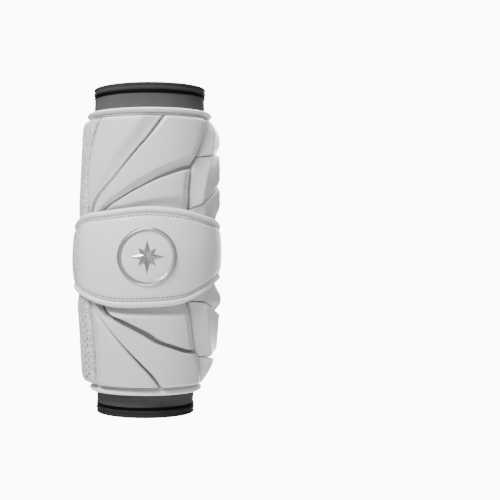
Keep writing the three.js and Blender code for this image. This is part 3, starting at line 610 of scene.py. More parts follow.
def ring_solid(name, profile, turns, spot, material, sharp=40):
    """A ring from a profile of radii and lifts in millimetres, which spot puts in place."""
    columns = [spot(far * MM * np.sin(turns), far * MM * np.cos(turns), lift * MM) for far, lift in profile]
    return swept(name, np.stack(columns, axis=1), material, closed=True, sharp=sharp)


def add_rings(points, faces, rings):
    """Adds a closed solid to a mesh through rings of points. Its ends are single tips or flat caps."""
    indices = []
    for ring in rings:
        indices.append(list(range(len(points), len(points) + len(ring))))
        points.extend(ring)
    for low, high in zip(indices, indices[1:]):
        for k in range(max(len(low), len(high))):
            corners = ((low, k), (low, k + 1), (high, k + 1), (high, k))
            faces.append(list(dict.fromkeys(ring[at % len(ring)] for ring, at in corners)))
    for cap in (indices[0][::-1], indices[-1]):
        if len(cap) > 1:
            faces.append(cap)


def spokes(across, up, sides):
    """Directions all round, from one towards another."""
    turns = 2 * math.pi * np.arange(sides) / sides
    return np.outer(np.cos(turns), across) + np.outer(np.sin(turns), up)


def on_surface(obj, angle, height):
    """How far out a piece's own surface lies along a route on the arm, just clear of it."""
    mesh = obj.data
    tree = BVHTree.FromPolygons([v.co for v in mesh.vertices], [p.vertices for p in mesh.polygons])
    offsets = []
    for start, outside in zip(point_at(angle, height, 0.0), point_at(angle, height, PROBE_HEIGHT)):
        hit = tree.ray_cast(Vector(outside), Vector(start - outside))[0]
        reach = PROBE_HEIGHT if hit is None else np.linalg.norm(np.array(hit) - start)
        offsets.append(reach + THREAD * 0.4)
    return np.array(offsets)


def stitches(name, angle, height, offset, material, slot, length, gap, slant=0.0):
    """A row of sewn stitches along a route on the arm, with the length and gap in millimetres. slant
    turns each stitch, in degrees."""
    length, gap = length * MM, gap * MM
    turn = math.radians(slant)
    route = point_at(angle, height, offset)
    rise = point_at(angle, height, np.asarray(offset) + 1 * MM) - route
    run = np.concatenate([[0], np.cumsum(np.linalg.norm(np.diff(route, axis=0), axis=1))])

    def along(rows, distance):
        return np.array([np.interp(distance, run, rows[:, k]) for k in range(3)])

    points = []
    faces = []
    for start in np.arange(gap, run[-1] - length, length + gap):
        ends = along(route, start), along(route, start + length)
        out = unit(along(rise, start))
        ahead = unit(ends[1] - ends[0])
        axis = math.cos(turn) * ahead + math.sin(turn) * np.cross(ahead, out)
        section = THREAD * spokes(np.cross(out, axis), out, 5)
        middle = (ends[0] + ends[1]) / 2
        body = [middle + axis * length * share + section * radius
                for share, radius in ((-0.36, 0.85), (0, 1), (0.36, 0.85))]
        tips = [[middle + axis * length * share] for share in (-0.5, 0.5)]
        add_rings(points, faces, [tips[0], *body, tips[1]])
    finish_piece(mesh_object(name, points, faces, material), slot)


# The pads' own measures
def cap_top(angle):
    return CAP_CENTRE + CAP_HALF_HEIGHT * read(CAP_EDGES, "around", "top", angle)


def cap_bottom(angle):
    return CAP_CENTRE + CAP_HALF_HEIGHT * read(CAP_EDGES, "around", "bottom", angle)


class Pad:
    """One of the two pads: its seams, its thicknesses, and the field between band and cap."""

    def __init__(self, name, lines, cuts, thickness, end_taper, at_top):
        self.name = name
        self.lines = lines
        self.cuts = cuts
        self.panel, self.strip, self.side, self.bolster = [value * MM for value in thickness]
        self.end_taper = end_taper
        self.at_top = at_top
        self.cap_share = 0 if at_top else 1
        self.band_low = UPPER_PAD_TOP - BAND_HEIGHT if at_top else LOWER_PAD_BOTTOM

    def low(self, angle):
        return cap_top(angle) - CAP_OVERLAP if self.at_top else LOWER_PAD_BOTTOM + BAND_HEIGHT + CLEARANCE

    def high(self, angle):
        return UPPER_PAD_TOP - BAND_HEIGHT - CLEARANCE if self.at_top else cap_bottom(angle) + CAP_OVERLAP

    def height(self, angle, up):
        return lerp(self.low(angle), self.high(angle), up)

    def share(self, angle, height):
        return (height - self.low(angle)) / (self.high(angle) - self.low(angle))

    def line(self, name, up):
        return read(self.lines[name], "up", "around", up)

    def under_cap(self, angle):
        """How thick the pad is under the cap's edge: slimmer at the arm's sides."""
        return lerp(self.panel, self.side, smoothstep(45, 75, np.abs(angle)))

    def slimmed(self, angle, up, full):
        """A thickness that is full in the open and slims to what the cap leaves under it."""
        clear = smoothstep(0.08, 0.24, np.abs(up - self.cap_share))
        return lerp(self.under_cap(angle), full, clear)

    def strip_rise(self, angle, up):
        """How thick the edge strip is: thin at the wing's edge and full before the arm's side."""
        wing = self.line("wing", up)
        thick = smoothstep(0, 1, (angle - wing) / (WING_START_ANGLE - wing))
        return lerp(WING_EDGE_THICKNESS, self.slimmed(angle, up, self.strip), thick)


# Each pad's thicknesses in millimetres: its panels, its edge strip, its sides under the cap, and
# its bolster. The bolster slopes down to the edge band over a share of the pad's height.
UPPER = Pad("upper_pad", UPPER_LINES, UPPER_CUTS, (8, 6.8, 5.6, 11), 0.15, True)
LOWER = Pad("lower_pad", LOWER_LINES, LOWER_CUTS, (11, 10.8, 8, 16), 0.25, False)


def cap_inner(angle, height):
    """How far the cap's inner face lies off the sleeve: on both pads, and domed between them."""
    up = np.clip((height - cap_bottom(angle)) / (cap_top(angle) - cap_bottom(angle)), 0, 1)
    over_pads = lerp(LOWER.under_cap(angle), UPPER.under_cap(angle), up)
    dome = CAP_DOME * (0.75 + 0.25 * np.cos(np.radians(2 * angle)))
    return PANEL_INNER + over_pads + CLEARANCE + dome * np.sin(math.pi * up)


# Sleeve and hems
def sleeve_wall(u, v, angle, height, run):
    """The knit with faint folds, and a flat double ridge at each rear seam."""
    angle = (angle + 180) % 360 - 180
    folds = 0.21 * MM * np.sin(np.radians(angle) * 5 + height * 40) * np.sin(height * 55 + 1.3)
    ridges = sum(bulge(angle, seam + side, 1.0) for seam in SEAM_ANGLES for side in (-SEAM_RIDGE, SEAM_RIDGE))
    return SLEEVE_WALL - 0.3 * MM + folds + 0.4 * MM * ridges


def build_sleeve_part(name, start, end, material):
    low, high = SLEEVE_BOTTOM + HEM_HEIGHT, SLEEVE_TOP - HEM_HEIGHT
    grid = (even(int((end - start) / 1.6)), even(90))
    place = patch(start, end, low - TUCK, high + TUCK)
    obj = slab(name, "sleeve", "knit", material, grid, place, -SLEEVE_WALL, sleeve_wall)
    levels = np.linspace(SLEEVE_BOTTOM, SLEEVE_TOP, 9)
    arcs = point_at(np.linspace(start, end, 91), levels[:, None], 0.0)


def build_sleeve():
    """The sleeve's front and rear knits, and a pair of stitch rows on each seam between them."""
    right, left = SEAM_ANGLES
    build_sleeve_part("sleeve_front", left, right, KNIT)
    build_sleeve_part("sleeve_rear", right, left + 360, MESH_KNIT)
    height = np.linspace(SLEEVE_BOTTOM + HEM_HEIGHT, SLEEVE_TOP - HEM_HEIGHT, 60)
    for number, seam in enumerate(SEAM_ANGLES, 1):
        for side, shift in (("a", -SEAM_RIDGE), ("b", SEAM_RIDGE)):
            stitches(f"sleeve_seam_{number}{side}", seam + shift, height, 0.25 * MM, SLEEVE_THREAD, "knit",
                     1.8, 0.9)


def hem_profile(low, flip):
    """A turned hem: two rolls outside, a flat inner face, and a bed for the painted shadow band beside the
    sleeve.
    """
    bed = SHADOW_BAND_HEIGHT / HEM_HEIGHT
    outside = []
    inside = []
    for share in even(27):
        height = low + HEM_HEIGHT * share
        lip = crest(min(share, 1 - share) * HEM_HEIGHT, 1.2 * MM, 0.0)
        past_bed = ((1 - share if flip else share) - bed) / (1 - bed)
        rolls = abs(math.sin(math.pi * (0.06 + 1.88 * past_bed))) if past_bed > 0 else -0.6
        outside.append((height, lerp(-1.4 * MM, (0.35 + 0.75 * rolls) * MM, lip)))
        inside.append((height, 1 * MM - HEM_WALL + 0.9 * MM * (1 - lip)))
    return outside + inside[::-1]


def build_hems():
    upper = tube_round_arm("upper_hem_roll", hem_profile(SLEEVE_TOP - HEM_HEIGHT, False), GREY_HEM)
    lower = tube_round_arm("lower_hem_roll", hem_profile(SLEEVE_BOTTOM, True), DARK_HEM)
    finish_piece(upper, "hem", "upper_hem")
    finish_piece(lower, "hem", "lower_hem")
    # A near-black band round the arm at each hem's edge: painted shadow in the line where the hem meets the
    # sleeve.
    upper_shadow_band = SLEEVE_TOP - HEM_HEIGHT
    lower_shadow_band = SLEEVE_BOTTOM + HEM_HEIGHT - SHADOW_BAND_HEIGHT
    section = [(0, -0.6), (0, 0.35), (0.5, 0.6), (1, 0.35), (1, -0.6)]
    for name, low in (("upper_hem_tape", upper_shadow_band), ("lower_hem_tape", lower_shadow_band)):
        profile = [(low + SHADOW_BAND_HEIGHT * share, rise * MM) for share, rise in section]
        finish_piece(tube_round_arm(name, profile, HEM_SHADOW_BLACK), "hem")


# Pads
def on_line(pad, name, shift, start, end):
    """An edge that runs beside a seam or groove, at a distance square to it. The distance is given
    by itself or as its values at the two ends."""
    first, last = shift if isinstance(shift, tuple) else (shift, shift)

    def curve(share):
        up = lerp(start, end, share)
        step = 0.01
        run = pad.line(name, up + step) - pad.line(name, up - step)
        climb = 2 * step * (pad.high(0.0) - pad.low(0.0))
        slant = np.minimum(np.hypot(1, as_width(run) / climb), 2.6)
        eased = smoothstep(0.55, 1, share) if last > first else 1 - smoothstep(0, 0.45, share)
        return pad.line(name, up) + as_angle(lerp(first, last, eased) * slant), up
    return curve


def level(start, end):
    def curve(share):
        return lerp(start[0], end[0], share), lerp(start[1], end[1], share)
    return curve


def closed_edges(left, right, low=None, high=None):
    return {
        "left": left,
        "right": right,
        "low": low or level(left(0.0), right(0.0)),
        "high": high or level(left(1.0), right(1.0)),
    }


def between(edges, u, v):
    """Places inside four edge curves, as angles and shares of the pad's height."""
    result = []
    for part in (0, 1):
        sideways = lerp(edges["left"](v)[part], edges["right"](v)[part], u)
        upwards = lerp(edges["low"](u)[part], edges["high"](u)[part], v)
        low_corners = lerp(edges["low"](0.0)[part], edges["low"](1.0)[part], u)
        high_corners = lerp(edges["high"](0.0)[part], edges["high"](1.0)[part], u)
        result.append(sideways + upwards - lerp(low_corners, high_corners, v))
    return result


def panel_edges(pad):
    """The four edges of each panel. The steep groove opens towards the band, the flat one to the seam."""
    half = GROOVE / 2
    open_half = 1.9 * MM
    before_steep = (-half, -open_half) if pad.at_top else -half
    outer = closed_edges(on_line(pad, "left", half, 0, 1), on_line(pad, "steep", before_steep, 0, 1))
    steep = on_line(pad, "steep", half if pad.at_top else (half, open_half), 0, 1)
    if pad.at_top:
        wide = (0.8 * MM, 3.2 * MM)
        kink = pad.lines["flat"]["up"][-1]
        seam = on_line(pad, "right", -half, kink, 1)
        middle = closed_edges(steep, seam, low=on_line(pad, "flat", -half, 0, kink))
        ends = (0, kink - 0.03)
    else:
        wide = (3.2 * MM, 2.2 * MM)
        kink = pad.lines["flat"]["up"][0]
        seam = on_line(pad, "right", -half, 0, kink)
        middle = closed_edges(steep, seam, high=on_line(pad, "flat", -half, 1, kink))
        ends = (kink + 0.03, 1)
    corner = closed_edges(on_line(pad, "flat", wide, *ends), on_line(pad, "right", -half, *ends))
    return {"outer_panel": outer, "middle_panel": middle, "corner_panel": corner}


# How each panel ends at its four edges: a rounded crest of a radius, or a valley of a width and
# depth with a level strip beside the edge. A valley may grow along its edge from a first depth.
PANEL_RIMS = {
    ("upper_pad", "outer_panel"): {
        "left": ("crest", 4), "right": ("valley", 19, 0.5, 3, 0.03), "low": ("valley", 20, 0.2, 8),
        "high": ("crest", 4),
    },
    ("upper_pad", "middle_panel"): {
        "left": ("crest", 4.4), "right": ("valley", 9, 0.3, 1), "low": ("valley", 15, 0.6, 2, 0.2),
        "high": ("crest", 4),
    },
    ("upper_pad", "corner_panel"): {
        "left": ("crest", 4.6), "right": ("valley", 8, 0.25, 1), "low": ("valley", 22, 0.5, 9),
        "high": ("crest", 3),
    },
    ("lower_pad", "outer_panel"): {
        "left": ("valley", 9, 0.25, 2), "right": ("valley", 6, 0.16, 1), "low": ("crest", 4),
        "high": ("valley", 12, 0.12, 3),
    },
    ("lower_pad", "middle_panel"): {
        "left": ("crest", 2.6), "right": ("valley", 10, 0.28, 2), "low": ("crest", 4),
        "high": ("crest", 3.2),
    },
    ("lower_pad", "corner_panel"): {
        "left": ("crest", 3.6), "right": ("valley", 8, 0.25, 1), "low": ("crest", 3),
        "high": ("valley", 24, 0.55, 9),
    },
}


def rim_rise(kind, width, distance, along, depth=0.0, flat=0.0, first_depth=None):
    if kind == "crest":
        return crest(distance, width * MM, 0.04)
    if first_depth is not None:
        grown = smoothstep(0.1, 0.75, along)
        depth = lerp(first_depth, depth, grown)
        width = width * lerp(0.3, 1, grown)
        flat = flat * lerp(0.3, 1, grown)
    return valley(distance, width * MM, depth, flat * MM) * crest(distance, 1.4 * MM, 0.1)


def build_panel(pad, key, edges):
    def place(u, v):
        angle, up = between(edges, u, v)
        return angle, pad.height(angle, up)

    def thickness(u, v, angle, height, run):
        rise = 1 + 0.06 * np.sin(math.pi * u) * np.sin(math.pi * v)
        for side, (kind, width, *more) in PANEL_RIMS[(pad.name, key)].items():
            along = v if side in ("left", "right") else u
            rise = rise * rim_rise(kind, width, run[side], along, *more)
        rumple = 0.12 * MM * np.sin(angle * 0.23 + height * 90) * np.sin(height * 130 + angle * 0.11)
        return pad.slimmed(angle, pad.share(angle, height), pad.panel) * rise + rumple

    grid = (rimmed(56), rimmed(52))
    return slab(f"{pad.name}_{key}_skin", f"{pad.name}_{key}", "leather", LEATHER, grid, place, PANEL_INNER,
                thickness)


def build_base(pad):
    def place(u, v):
        angle = lerp(pad.line("wing", v), BOLSTER_REACH, u)
        return angle, pad.height(angle, v)

    grid = (even(110), even(24))
    slab(f"{pad.name}_backing", f"{pad.name}_base", "leather", SHADED_BASE_LEATHER, grid, place, CLEARANCE,
         BASE_THICKNESS)


def build_edge_strip(pad):
    def place(u, v):
        angle = lerp(pad.line("wing", v), pad.line("left", v) - as_angle(GROOVE) / 2, u)
        return angle, pad.height(angle, v)

    def thickness(u, v, angle, height, run):
        """A rolled edge with a crease beside it, slimmer towards the end at the band."""
        roll = 0.9 * MM * (bulge(run["left"], 3 * MM, 2 * MM) - bulge(run["left"], 7 * MM, 0.9 * MM))
        edges = rounded(run, left=(2, 0.25), right=(3, 0.25), low=(4, 0.25), high=(4, 0.25))
        at_band = crest(run["high" if pad.at_top else "low"], 14 * MM, 0.55)
        return pad.strip_rise(angle, v) * edges * at_band + roll

    grid = (rimmed(70), rimmed(56))
    slab(f"{pad.name}_edge_mesh", f"{pad.name}_edge_strip", "leather", SPACER, grid, place, PANEL_INNER,
         thickness)


def build_edge_band(pad):
    start = float(pad.line("wing", 1 - pad.cap_share))

    def thickness(u, v, angle, height, run):
        """A thin lip on the pad's side, a seam, and a fat roll."""
        across = v if pad.at_top else 1 - v
        section = np.maximum(0.62 * arch(across, 0.12, 0.13), arch(across, 0.63, 0.38))
        section = np.maximum(section, 0.2 * (across > 0.02))
        in_open = lerp(BAND_THICKNESS, BAND_SIDE_THICKNESS, smoothstep(50, 85, np.abs(angle)))
        fade = np.where(angle < WING_START_ANGLE, smoothstep(start, WING_START_ANGLE, angle), 1)
        full = PANEL_INNER - CLEARANCE + lerp(WING_EDGE_THICKNESS, in_open, fade)
        return full * section * rounded(run, left=(3, 0.3), right=(3, 0.3))

    grid = (rimmed(170, 0.02), even(29))
    place = patch(start, BOLSTER_REACH, pad.band_low, pad.band_low + BAND_HEIGHT)
    slab(f"{pad.name}_band_roll", f"{pad.name}_edge_band", "binding", BINDING, grid, place, CLEARANCE,
         thickness)


def build_block(pad, number):
    """A faceted foam block: straight faces between ridges. The faces that meet the next block turn
    into the notch between them, from nothing at the seam to deep at the rear."""
    low_seam, high_seam = pad.cuts["seam"][number:number + 2]
    low_rear, high_rear = pad.cuts["rear"][number:number + 2]
    has_lower = number > 0
    has_upper = number < len(pad.cuts["seam"]) - 2
    gap = 0.3 * MM / float(pad.high(90) - pad.low(90))
    lean = (0.12 if pad.at_top else -0.06) if number == 1 else 0.0

    def spot(across, v):
        bottom = lerp(low_seam, low_rear, across) + gap * has_lower
        top = lerp(high_seam, high_rear, across) - gap * has_upper
        up = lerp(bottom, top, v)
        angle = lerp(pad.line("right", up) + as_angle(GROOVE) / 2, BOLSTER_REACH, across)
        return angle, pad.height(angle, up), up

    def outer_point(across, v, rise):
        angle, height, up = spot(across, v)
        from_end = np.clip(np.abs(up - 1 + pad.cap_share) / pad.end_taper, 0, 1)
        taper = lerp(0.25, 1, np.sin(math.pi / 2 * from_end))
        return point_at(angle, height, PANEL_INNER + pad.slimmed(angle, up, pad.bolster) * taper * rise)

    u, v = np.meshgrid(rimmed(56, 0.04, 5), rimmed(50, 0.06, 5))
    ridges = [across + lean * (v - 0.5) * (0 < across < 1) for across in BOLSTER_RIDGES["across"]]
    crests = [outer_point(ridge, v, rise) for ridge, rise in zip(ridges, BOLSTER_RIDGES["rise"])]
    faces = np.zeros(u.shape + (3,))
    for k in range(len(ridges) - 1):
        start, end = ridges[k], ridges[k + 1]
        inside = (u >= start - 1e-9) & (u <= end + 1e-9)
        t = np.clip((u - start) / (end - start), 0, 1)[..., None]
        faces[inside] = lerp(crests[k], crests[k + 1], t)[inside]
    angle, height, _ = spot(u, v)
    bottom = point_at(angle, height, PANEL_INNER)
    run = run_lengths(bottom)
    notch = smoothstep(-0.1, 0.75, u)
    below = facet(run["low"], lerp(0.4, 10, notch) * MM, 0.42 * notch * has_lower)
    above = facet(run["high"], lerp(0.4, 3, notch) * MM, 0.3 * notch * has_upper)
    edges = rounded(run, low=(1.2, 0.6), high=(1.2, 0.6), left=(1.6, 0.5), right=(2.5, 0.4))
    top = lerp(bottom, faces, (below * above * edges)[..., None])
    obj = two_faced(f"{pad.name}_foam_block_{number + 1}", top, bottom, angle, height, LEATHER, sharp=50)
    finish_piece(obj, "leather", f"{pad.name}_bolster_block_{number + 1}")


def build_pad_stitching(pad, panel):
    """A zigzag of white thread on the corner panel, beside the bolster's seam, with grey ticks that are
    painted shadows of its stitches.
    """
    ups = np.linspace(0.14, 0.47, 70) if pad.at_top else np.linspace(0.4, 0.84, 70)
    # Row a is white thread; row b, grey and slanted the other way, is painted shadow beside the stitches.
    for mark, beside, material, slant in (("a", 4.0, WHITE_THREAD, 50), ("b", 5.6, GREY_THREAD_AND_SHADOW, -50)):
        angle = pad.line("right", ups) - as_angle(beside * MM)
        height = pad.height(angle, ups)
        offset = on_surface(panel, angle, height)
        stitches(f"{pad.name}_zigzag_{mark}", angle, height, offset, material, "leather", 3.2, 1.4, slant)


def build_perforations(pad):
    """Small punched holes in two staggered columns down the edge strip, drawn as dark discs: painted shade
    inside the holes.
    """
    radius = 0.7 * MM if pad.at_top else 1.2 * MM
    depth = 0.6 * MM
    step = 7.3 * MM / 2
    length = float(pad.high(-60) - pad.low(-60))
    points = []
    faces = []
    for number in range(int(length * 0.84 / step)):
        up = 0.08 + number * step / length
        angle = pad.line("left", up) - as_angle((6 if number % 2 else 10.5) * MM)
        height = pad.height(angle, up)
        offset = PANEL_INNER + pad.strip_rise(angle, up) + 0.06 * MM
        middle = point_at(angle, height, offset)
        side = unit(point_at(angle + 0.5, height, offset) - middle)
        above = unit(point_at(angle, height + 0.5 * MM, offset) - middle)
        rim = middle + radius * spokes(side, above, 10)
        add_rings(points, faces, [rim - depth * np.cross(side, above), rim])
    finish_piece(mesh_object(f"{pad.name}_perforations", points, faces, HOLE), "leather")


def build_pad(pad):
    build_base(pad)
    build_edge_strip(pad)
    build_edge_band(pad)
    panels = {key: build_panel(pad, key, edges) for key, edges in panel_edges(pad).items()}
    for number in range(len(pad.cuts["seam"]) - 1):
        build_block(pad, number)
    build_pad_stitching(pad, panels["corner_panel"])
    build_perforations(pad)


# Flaps, their bindings, and the straps over them
class Flap:
    """A loop-cloth flap on the back, from the bolster's rear edge to its free edge."""

    def __init__(self, name, edge, rise, low, high):
        self.name = name
        self.edge = edge
        self.rise = rise
        self.low = low
        self.high = high

    def inner(self, angle, _height=None):
        """How far the flap lies off the sleeve, the same at every height."""
        return CLEARANCE + self.rise * read(FLAP_FALL, "around", "rise", angle)

    def top(self, angle):
        return self.inner(angle) + FLAP_THICKNESS + BINDING_PROUD

    def edge_at(self, along, inset):
        """Places along the free edge, at a distance inwards from it."""
        def spot(share):
            height = lerp(self.low, self.high, read(self.edge, "along", "up", share))
            return np.stack([as_width(read(self.edge, "along", "around", share)), height], axis=-1)
        step = 0.02
        way = unit(spot(np.minimum(along + step, 1)) - spot(np.maximum(along - step, 0)))
        inward = np.stack([-way[..., 1], way[..., 0]], axis=-1)
        place = spot(along) + inward * np.asarray(inset)[..., None]
        return as_angle(place[..., 0]), place[..., 1]


FLAP_ROOT = BOLSTER_REACH + as_angle(CLEARANCE * 2)
UPPER_FLAP = Flap("upper_flap", UPPER_FLAP_EDGE, 8 * MM, cap_top(BOLSTER_REACH) + CLEARANCE, UPPER_PAD_TOP)
LOWER_FLAP = Flap(
    "lower_flap", LOWER_FLAP_EDGE, 10 * MM, LOWER_PAD_BOTTOM, cap_bottom(BOLSTER_REACH) - CLEARANCE
)


def build_flap(flap):
    inset = BINDING_WIDTH - TUCK
    roots = [float(flap.edge_at(end, inset)[1]) for end in (0.0, 1.0)]

    def place(u, v):
        edge_angle, edge_height = flap.edge_at(lerp(0.05, 0.95, v), inset)
        angle = lerp(FLAP_ROOT, np.maximum(edge_angle, FLAP_ROOT + 3), u)
        return angle, lerp(lerp(*roots, v), edge_height, u)

    def thickness(u, v, angle, height, run):
        """A faint pillow, and a seam beside the binding."""
        pillow = 0.25 * MM * np.sin(math.pi * u) + 0.2 * MM * np.sin(height * 160 + angle * 0.2)
        seam = 1.1 * MM * bulge(run["right"], 0, 2.4 * MM)
        return FLAP_THICKNESS - 0.35 * MM + pillow * smoothstep(0, 8 * MM, run["right"]) - seam

    grid = (even(54), even(90))
    obj = slab(f"{flap.name}_cloth", flap.name, "loop", LOOP, grid, place, flap.inner, thickness)
    low, high = heights(flap.name)
    build_flap_binding(flap)


def build_flap_binding(flap):
    def place(u, v):
        angle, height = flap.edge_at(1 - u, BINDING_WIDTH * (1 - v))
        return np.maximum(angle, FLAP_ROOT), height

    def thickness(u, v, angle, height, run):
        folds = 0.35 * MM * bulge(v, 0.28, 0.05) + 0.25 * MM * bulge(v, 0.55, 0.05)
        return (FLAP_THICKNESS + BINDING_PROUD) * rounded(run, low=(1.2, 0.6), high=(2.2, 0.1)) - folds

    grid = (even(170), rimmed(18, 0.2))
    slab(f"{flap.name}_binding_tape", f"{flap.name}_binding", "binding", BINDING, grid, place, flap.inner,
         thickness)
    for number, inset in enumerate((5.0, 3.1), 1):
        angle, height = flap.edge_at(np.linspace(0.02, 0.98, 200), inset * MM)
        angle = np.maximum(angle, FLAP_ROOT + 0.5)
        stitches(f"{flap.name}_binding_stitches_{number}", angle, height, flap.top(angle) - 0.3 * MM,
                 GREY_THREAD_AND_SHADOW, "binding", 2.4, 0.8)


class Strap:
    """An elastic strap from a flap, round the back, to the wing on the other side."""

    def __init__(self, name, pad, flap, end, patch_angle):
        self.name = name
        self.pad = pad
        self.flap = flap
        self.end = end
        self.patch_angle = patch_angle
        self.low, self.high = heights(name)

    def inner(self, angle, height):
        """How far the strap lies off the sleeve: over the flap, then over air, then over the wing."""
        up = np.clip(self.pad.share(angle - 360, height), 0, 1)
        wing_edge = 360 + self.pad.line("wing", up)
        lifts_at = wing_edge - 6
        on_flap = self.flap.top(angle)
        on_wing = PANEL_INNER + self.pad.strip_rise(np.maximum(angle, wing_edge) - 360, up)
        t = smoothstep(0, 1, (angle - 180) / (lifts_at - 180))
        over_air = lerp(on_flap, PANEL_INNER + WING_EDGE_THICKNESS, t)
        return CLEARANCE + np.where(angle >= lifts_at, np.maximum(on_flap, on_wing), over_air)


UPPER_STRAP = Strap("upper_strap", UPPER, UPPER_FLAP, UPPER_STRAP_END, 152)
LOWER_STRAP = Strap("lower_strap", LOWER, LOWER_FLAP, LOWER_STRAP_END, 150)


def build_strap(strap):
    def place(u, v):
        end = BOLSTER_REACH + read(strap.end, "up", "past", v)
        return lerp(end, STRAP_END_ANGLE, u), lerp(strap.low, strap.high, v)

    def thickness(u, v, angle, height, run):
        """A faint wave, a sewn patch at the fastened end, and a line beside each selvedge."""
        lines = 0.2 * MM * sum(bulge(run[side], 1.3 * MM, 0.6 * MM) for side in ("low", "high"))
        sewn = 0.25 * MM * (1 - smoothstep(strap.patch_angle - 1, strap.patch_angle + 1, angle))
        wave = 0.15 * MM * np.sin(angle * 0.35 + height * 60)
        edges = rounded(run, low=(0.7, 0.4), high=(0.7, 0.4), left=(0.8, 0.4))
        return (STRAP_THICKNESS + sewn + wave) * edges - lines

    grid = (rimmed(150, 0.01, 5), rimmed(24, 0.05, 6))
    obj = slab(f"{strap.name}_webbing", strap.name, "elastic", ELASTIC, grid, place, strap.inner, thickness)


def build_strap_stitches(strap):
    """Two rows of stitches at the patch and two at the sewn end."""
    height = np.linspace(strap.low + 2 * MM, strap.high - 2 * MM, 40)
    for name, middle in (("stitches", strap.patch_angle - 1), ("end_stitches", STRAP_END_ANGLE - 5)):
        for number, shift in enumerate((-1.2, 1.2), 1):
            angle = np.full_like(height, middle + shift)
            offset = strap.inner(angle, height) + STRAP_THICKNESS + 0.1 * MM
            stitches(f"{strap.name}_{name}_{number}", angle, height, offset, GREY_THREAD_AND_SHADOW, "elastic", 2.2, 0.8)


def build_pull_tab():
    low, high = LOWER_STRAP.low, LOWER_STRAP.high

    def place(u, v):
        free, sewn = [BOLSTER_REACH + read(rows, "up", "past", v) for rows in (PULL_TAB_END, LOWER_STRAP_END)]
        return lerp(free, sewn - as_angle(CLEARANCE * 0.6), u), lerp(low, high, v)

    def inner(angle, height):
        return LOWER_FLAP.top(angle) + CLEARANCE

    def thickness(u, v, angle, height, run):
        return PULL_TAB_THICKNESS * rounded(run, left=(1.4, 0.35), low=(1.2, 0.35), high=(1.2, 0.35))

    obj = slab("lower_strap_tab_cloth", "lower_strap_pull_tab", "elastic", BINDING, (rimmed(20), rimmed(30)),
               place, inner, thickness)


def build_tab_ring():
    """A plain moulded ring on the pull tab."""
    middle_angle = 119.5
    middle_height = lerp(LOWER_STRAP.low, LOWER_STRAP.high, 0.3)
    profile = [(4.3, 0.15), (4.5, 0.5), (5.1, 0.6), (5.6, 0.5), (5.8, 0.15), (5.1, -0.3)]

    def spot(x, z, lift):
        angle = middle_angle + np.degrees(x / (FLAT_RADIUS + 4 * MM))
        tab_top = LOWER_FLAP.top(angle) + CLEARANCE + PULL_TAB_THICKNESS
        return point_at(angle, middle_height + z, tab_top + lift)

    turns = np.linspace(0, 2 * math.pi, 36, endpoint=False)
    finish_piece(ring_solid("lower_strap_tab_ring", profile, turns, spot, GREY_THREAD_AND_SHADOW), "elastic")


# Elbow cap
def build_cap_shell(name, start, end, material):
    tuck = PIPING_HEIGHT - TUCK

    def place(u, v):
        angle = lerp(start, end, u)
        return angle, lerp(cap_bottom(angle) + tuck, cap_top(angle) - tuck, v)

    def thickness(u, v, angle, height, run):
        edges = rounded(run, low=(4, 0.1), high=(4, 0.1), left=(2.5, 0.4), right=(2.5, 0.4))
        rumple = 0.1 * MM * np.sin(angle * 0.15 + height * 70) * np.sin(height * 90)
        return CAP_SKIN * edges + rumple

    grid = (rimmed(int((end - start) / 1.3), 0.03, 6), rimmed(56))
    return slab(name, "elbow_cap", "leather", material, grid, place, cap_inner, thickness)


def build_cap_piping(name, edge_at, side, shell):
    """The roll along one edge of the cap with a lip inside it, and the stitches on the shell beside it."""
    def inward(v):
        return 1 - v if side > 0 else v

    def place(u, v):
        angle = lerp(-CAP_REACH, CAP_REACH, u)
        return angle, edge_at(angle) - side * PIPING_HEIGHT * inward(v)

    def thickness(u, v, angle, height, run):
        section = np.maximum(arch(inward(v), 0.34, 0.35), 0.66 * arch(inward(v), 0.86, 0.1))
        section = np.maximum(section, 0.15 * (inward(v) > 0.03))
        return (CAP_THICKNESS + 1.4 * MM) * section * rounded(run, left=(3, 0.4), right=(3, 0.4))

    grid = (rimmed(190, 0.02, 5), even(45))
    slab(f"{name}_roll", name, "binding", BINDING, grid, place, cap_inner, thickness)
    angle = np.linspace(-62, 86, 260)
    height = edge_at(angle) - side * (PIPING_HEIGHT + 0.3 * MM)
    offset = on_surface(shell, angle, height)
    stitches(f"{name}_stitches", angle, height, offset, DARK_THREAD, "binding", 2.8, 1.6)


def build_lining():
    def place(u, v):
        angle = lerp(-LINING_REACH, LINING_REACH, u)
        return angle, lerp(LOWER.high(angle) + 1 * MM, UPPER.low(angle) - 1 * MM, v)

    def inner(angle, height):
        return CLEARANCE + LINING_SIDE_GAP * smoothstep(80, LINING_REACH, np.abs(angle))

    def thickness(u, v, angle, height, run):
        return cap_inner(angle, height) - CLEARANCE - inner(angle, height)

    slab("elbow_cap_foam", "elbow_cap_lining", "lining", FOAM, (even(120), even(24)), place, inner, thickness)


def build_side_tab(name, sleeve_end, cap_end):
    """A short ribbed elastic tab from the sleeve to the cap's lining."""
    low, high = heights(name)
    rise = 0.9 * (LINING_SIDE_GAP - SIDE_TAB_THICKNESS - CLEARANCE)

    def inner(angle, height):
        return CLEARANCE + rise * smoothstep(2, 19, np.abs(sleeve_end - angle))

    def thickness(u, v, angle, height, run):
        ridges = 0.25 * MM * np.cos(2 * math.pi * (height - low) / (2.5 * MM))
        return (SIDE_TAB_THICKNESS + ridges) * rounded(run, low=(1, 0.4), high=(1, 0.4))

    place = patch(*sorted((sleeve_end, cap_end)), low, high)
    grid = (even(20), rimmed(70, 0.06, 5))
    obj = slab(f"{name}_elastic", name, "hem", DARK_HEM, grid, place, inner, thickness)


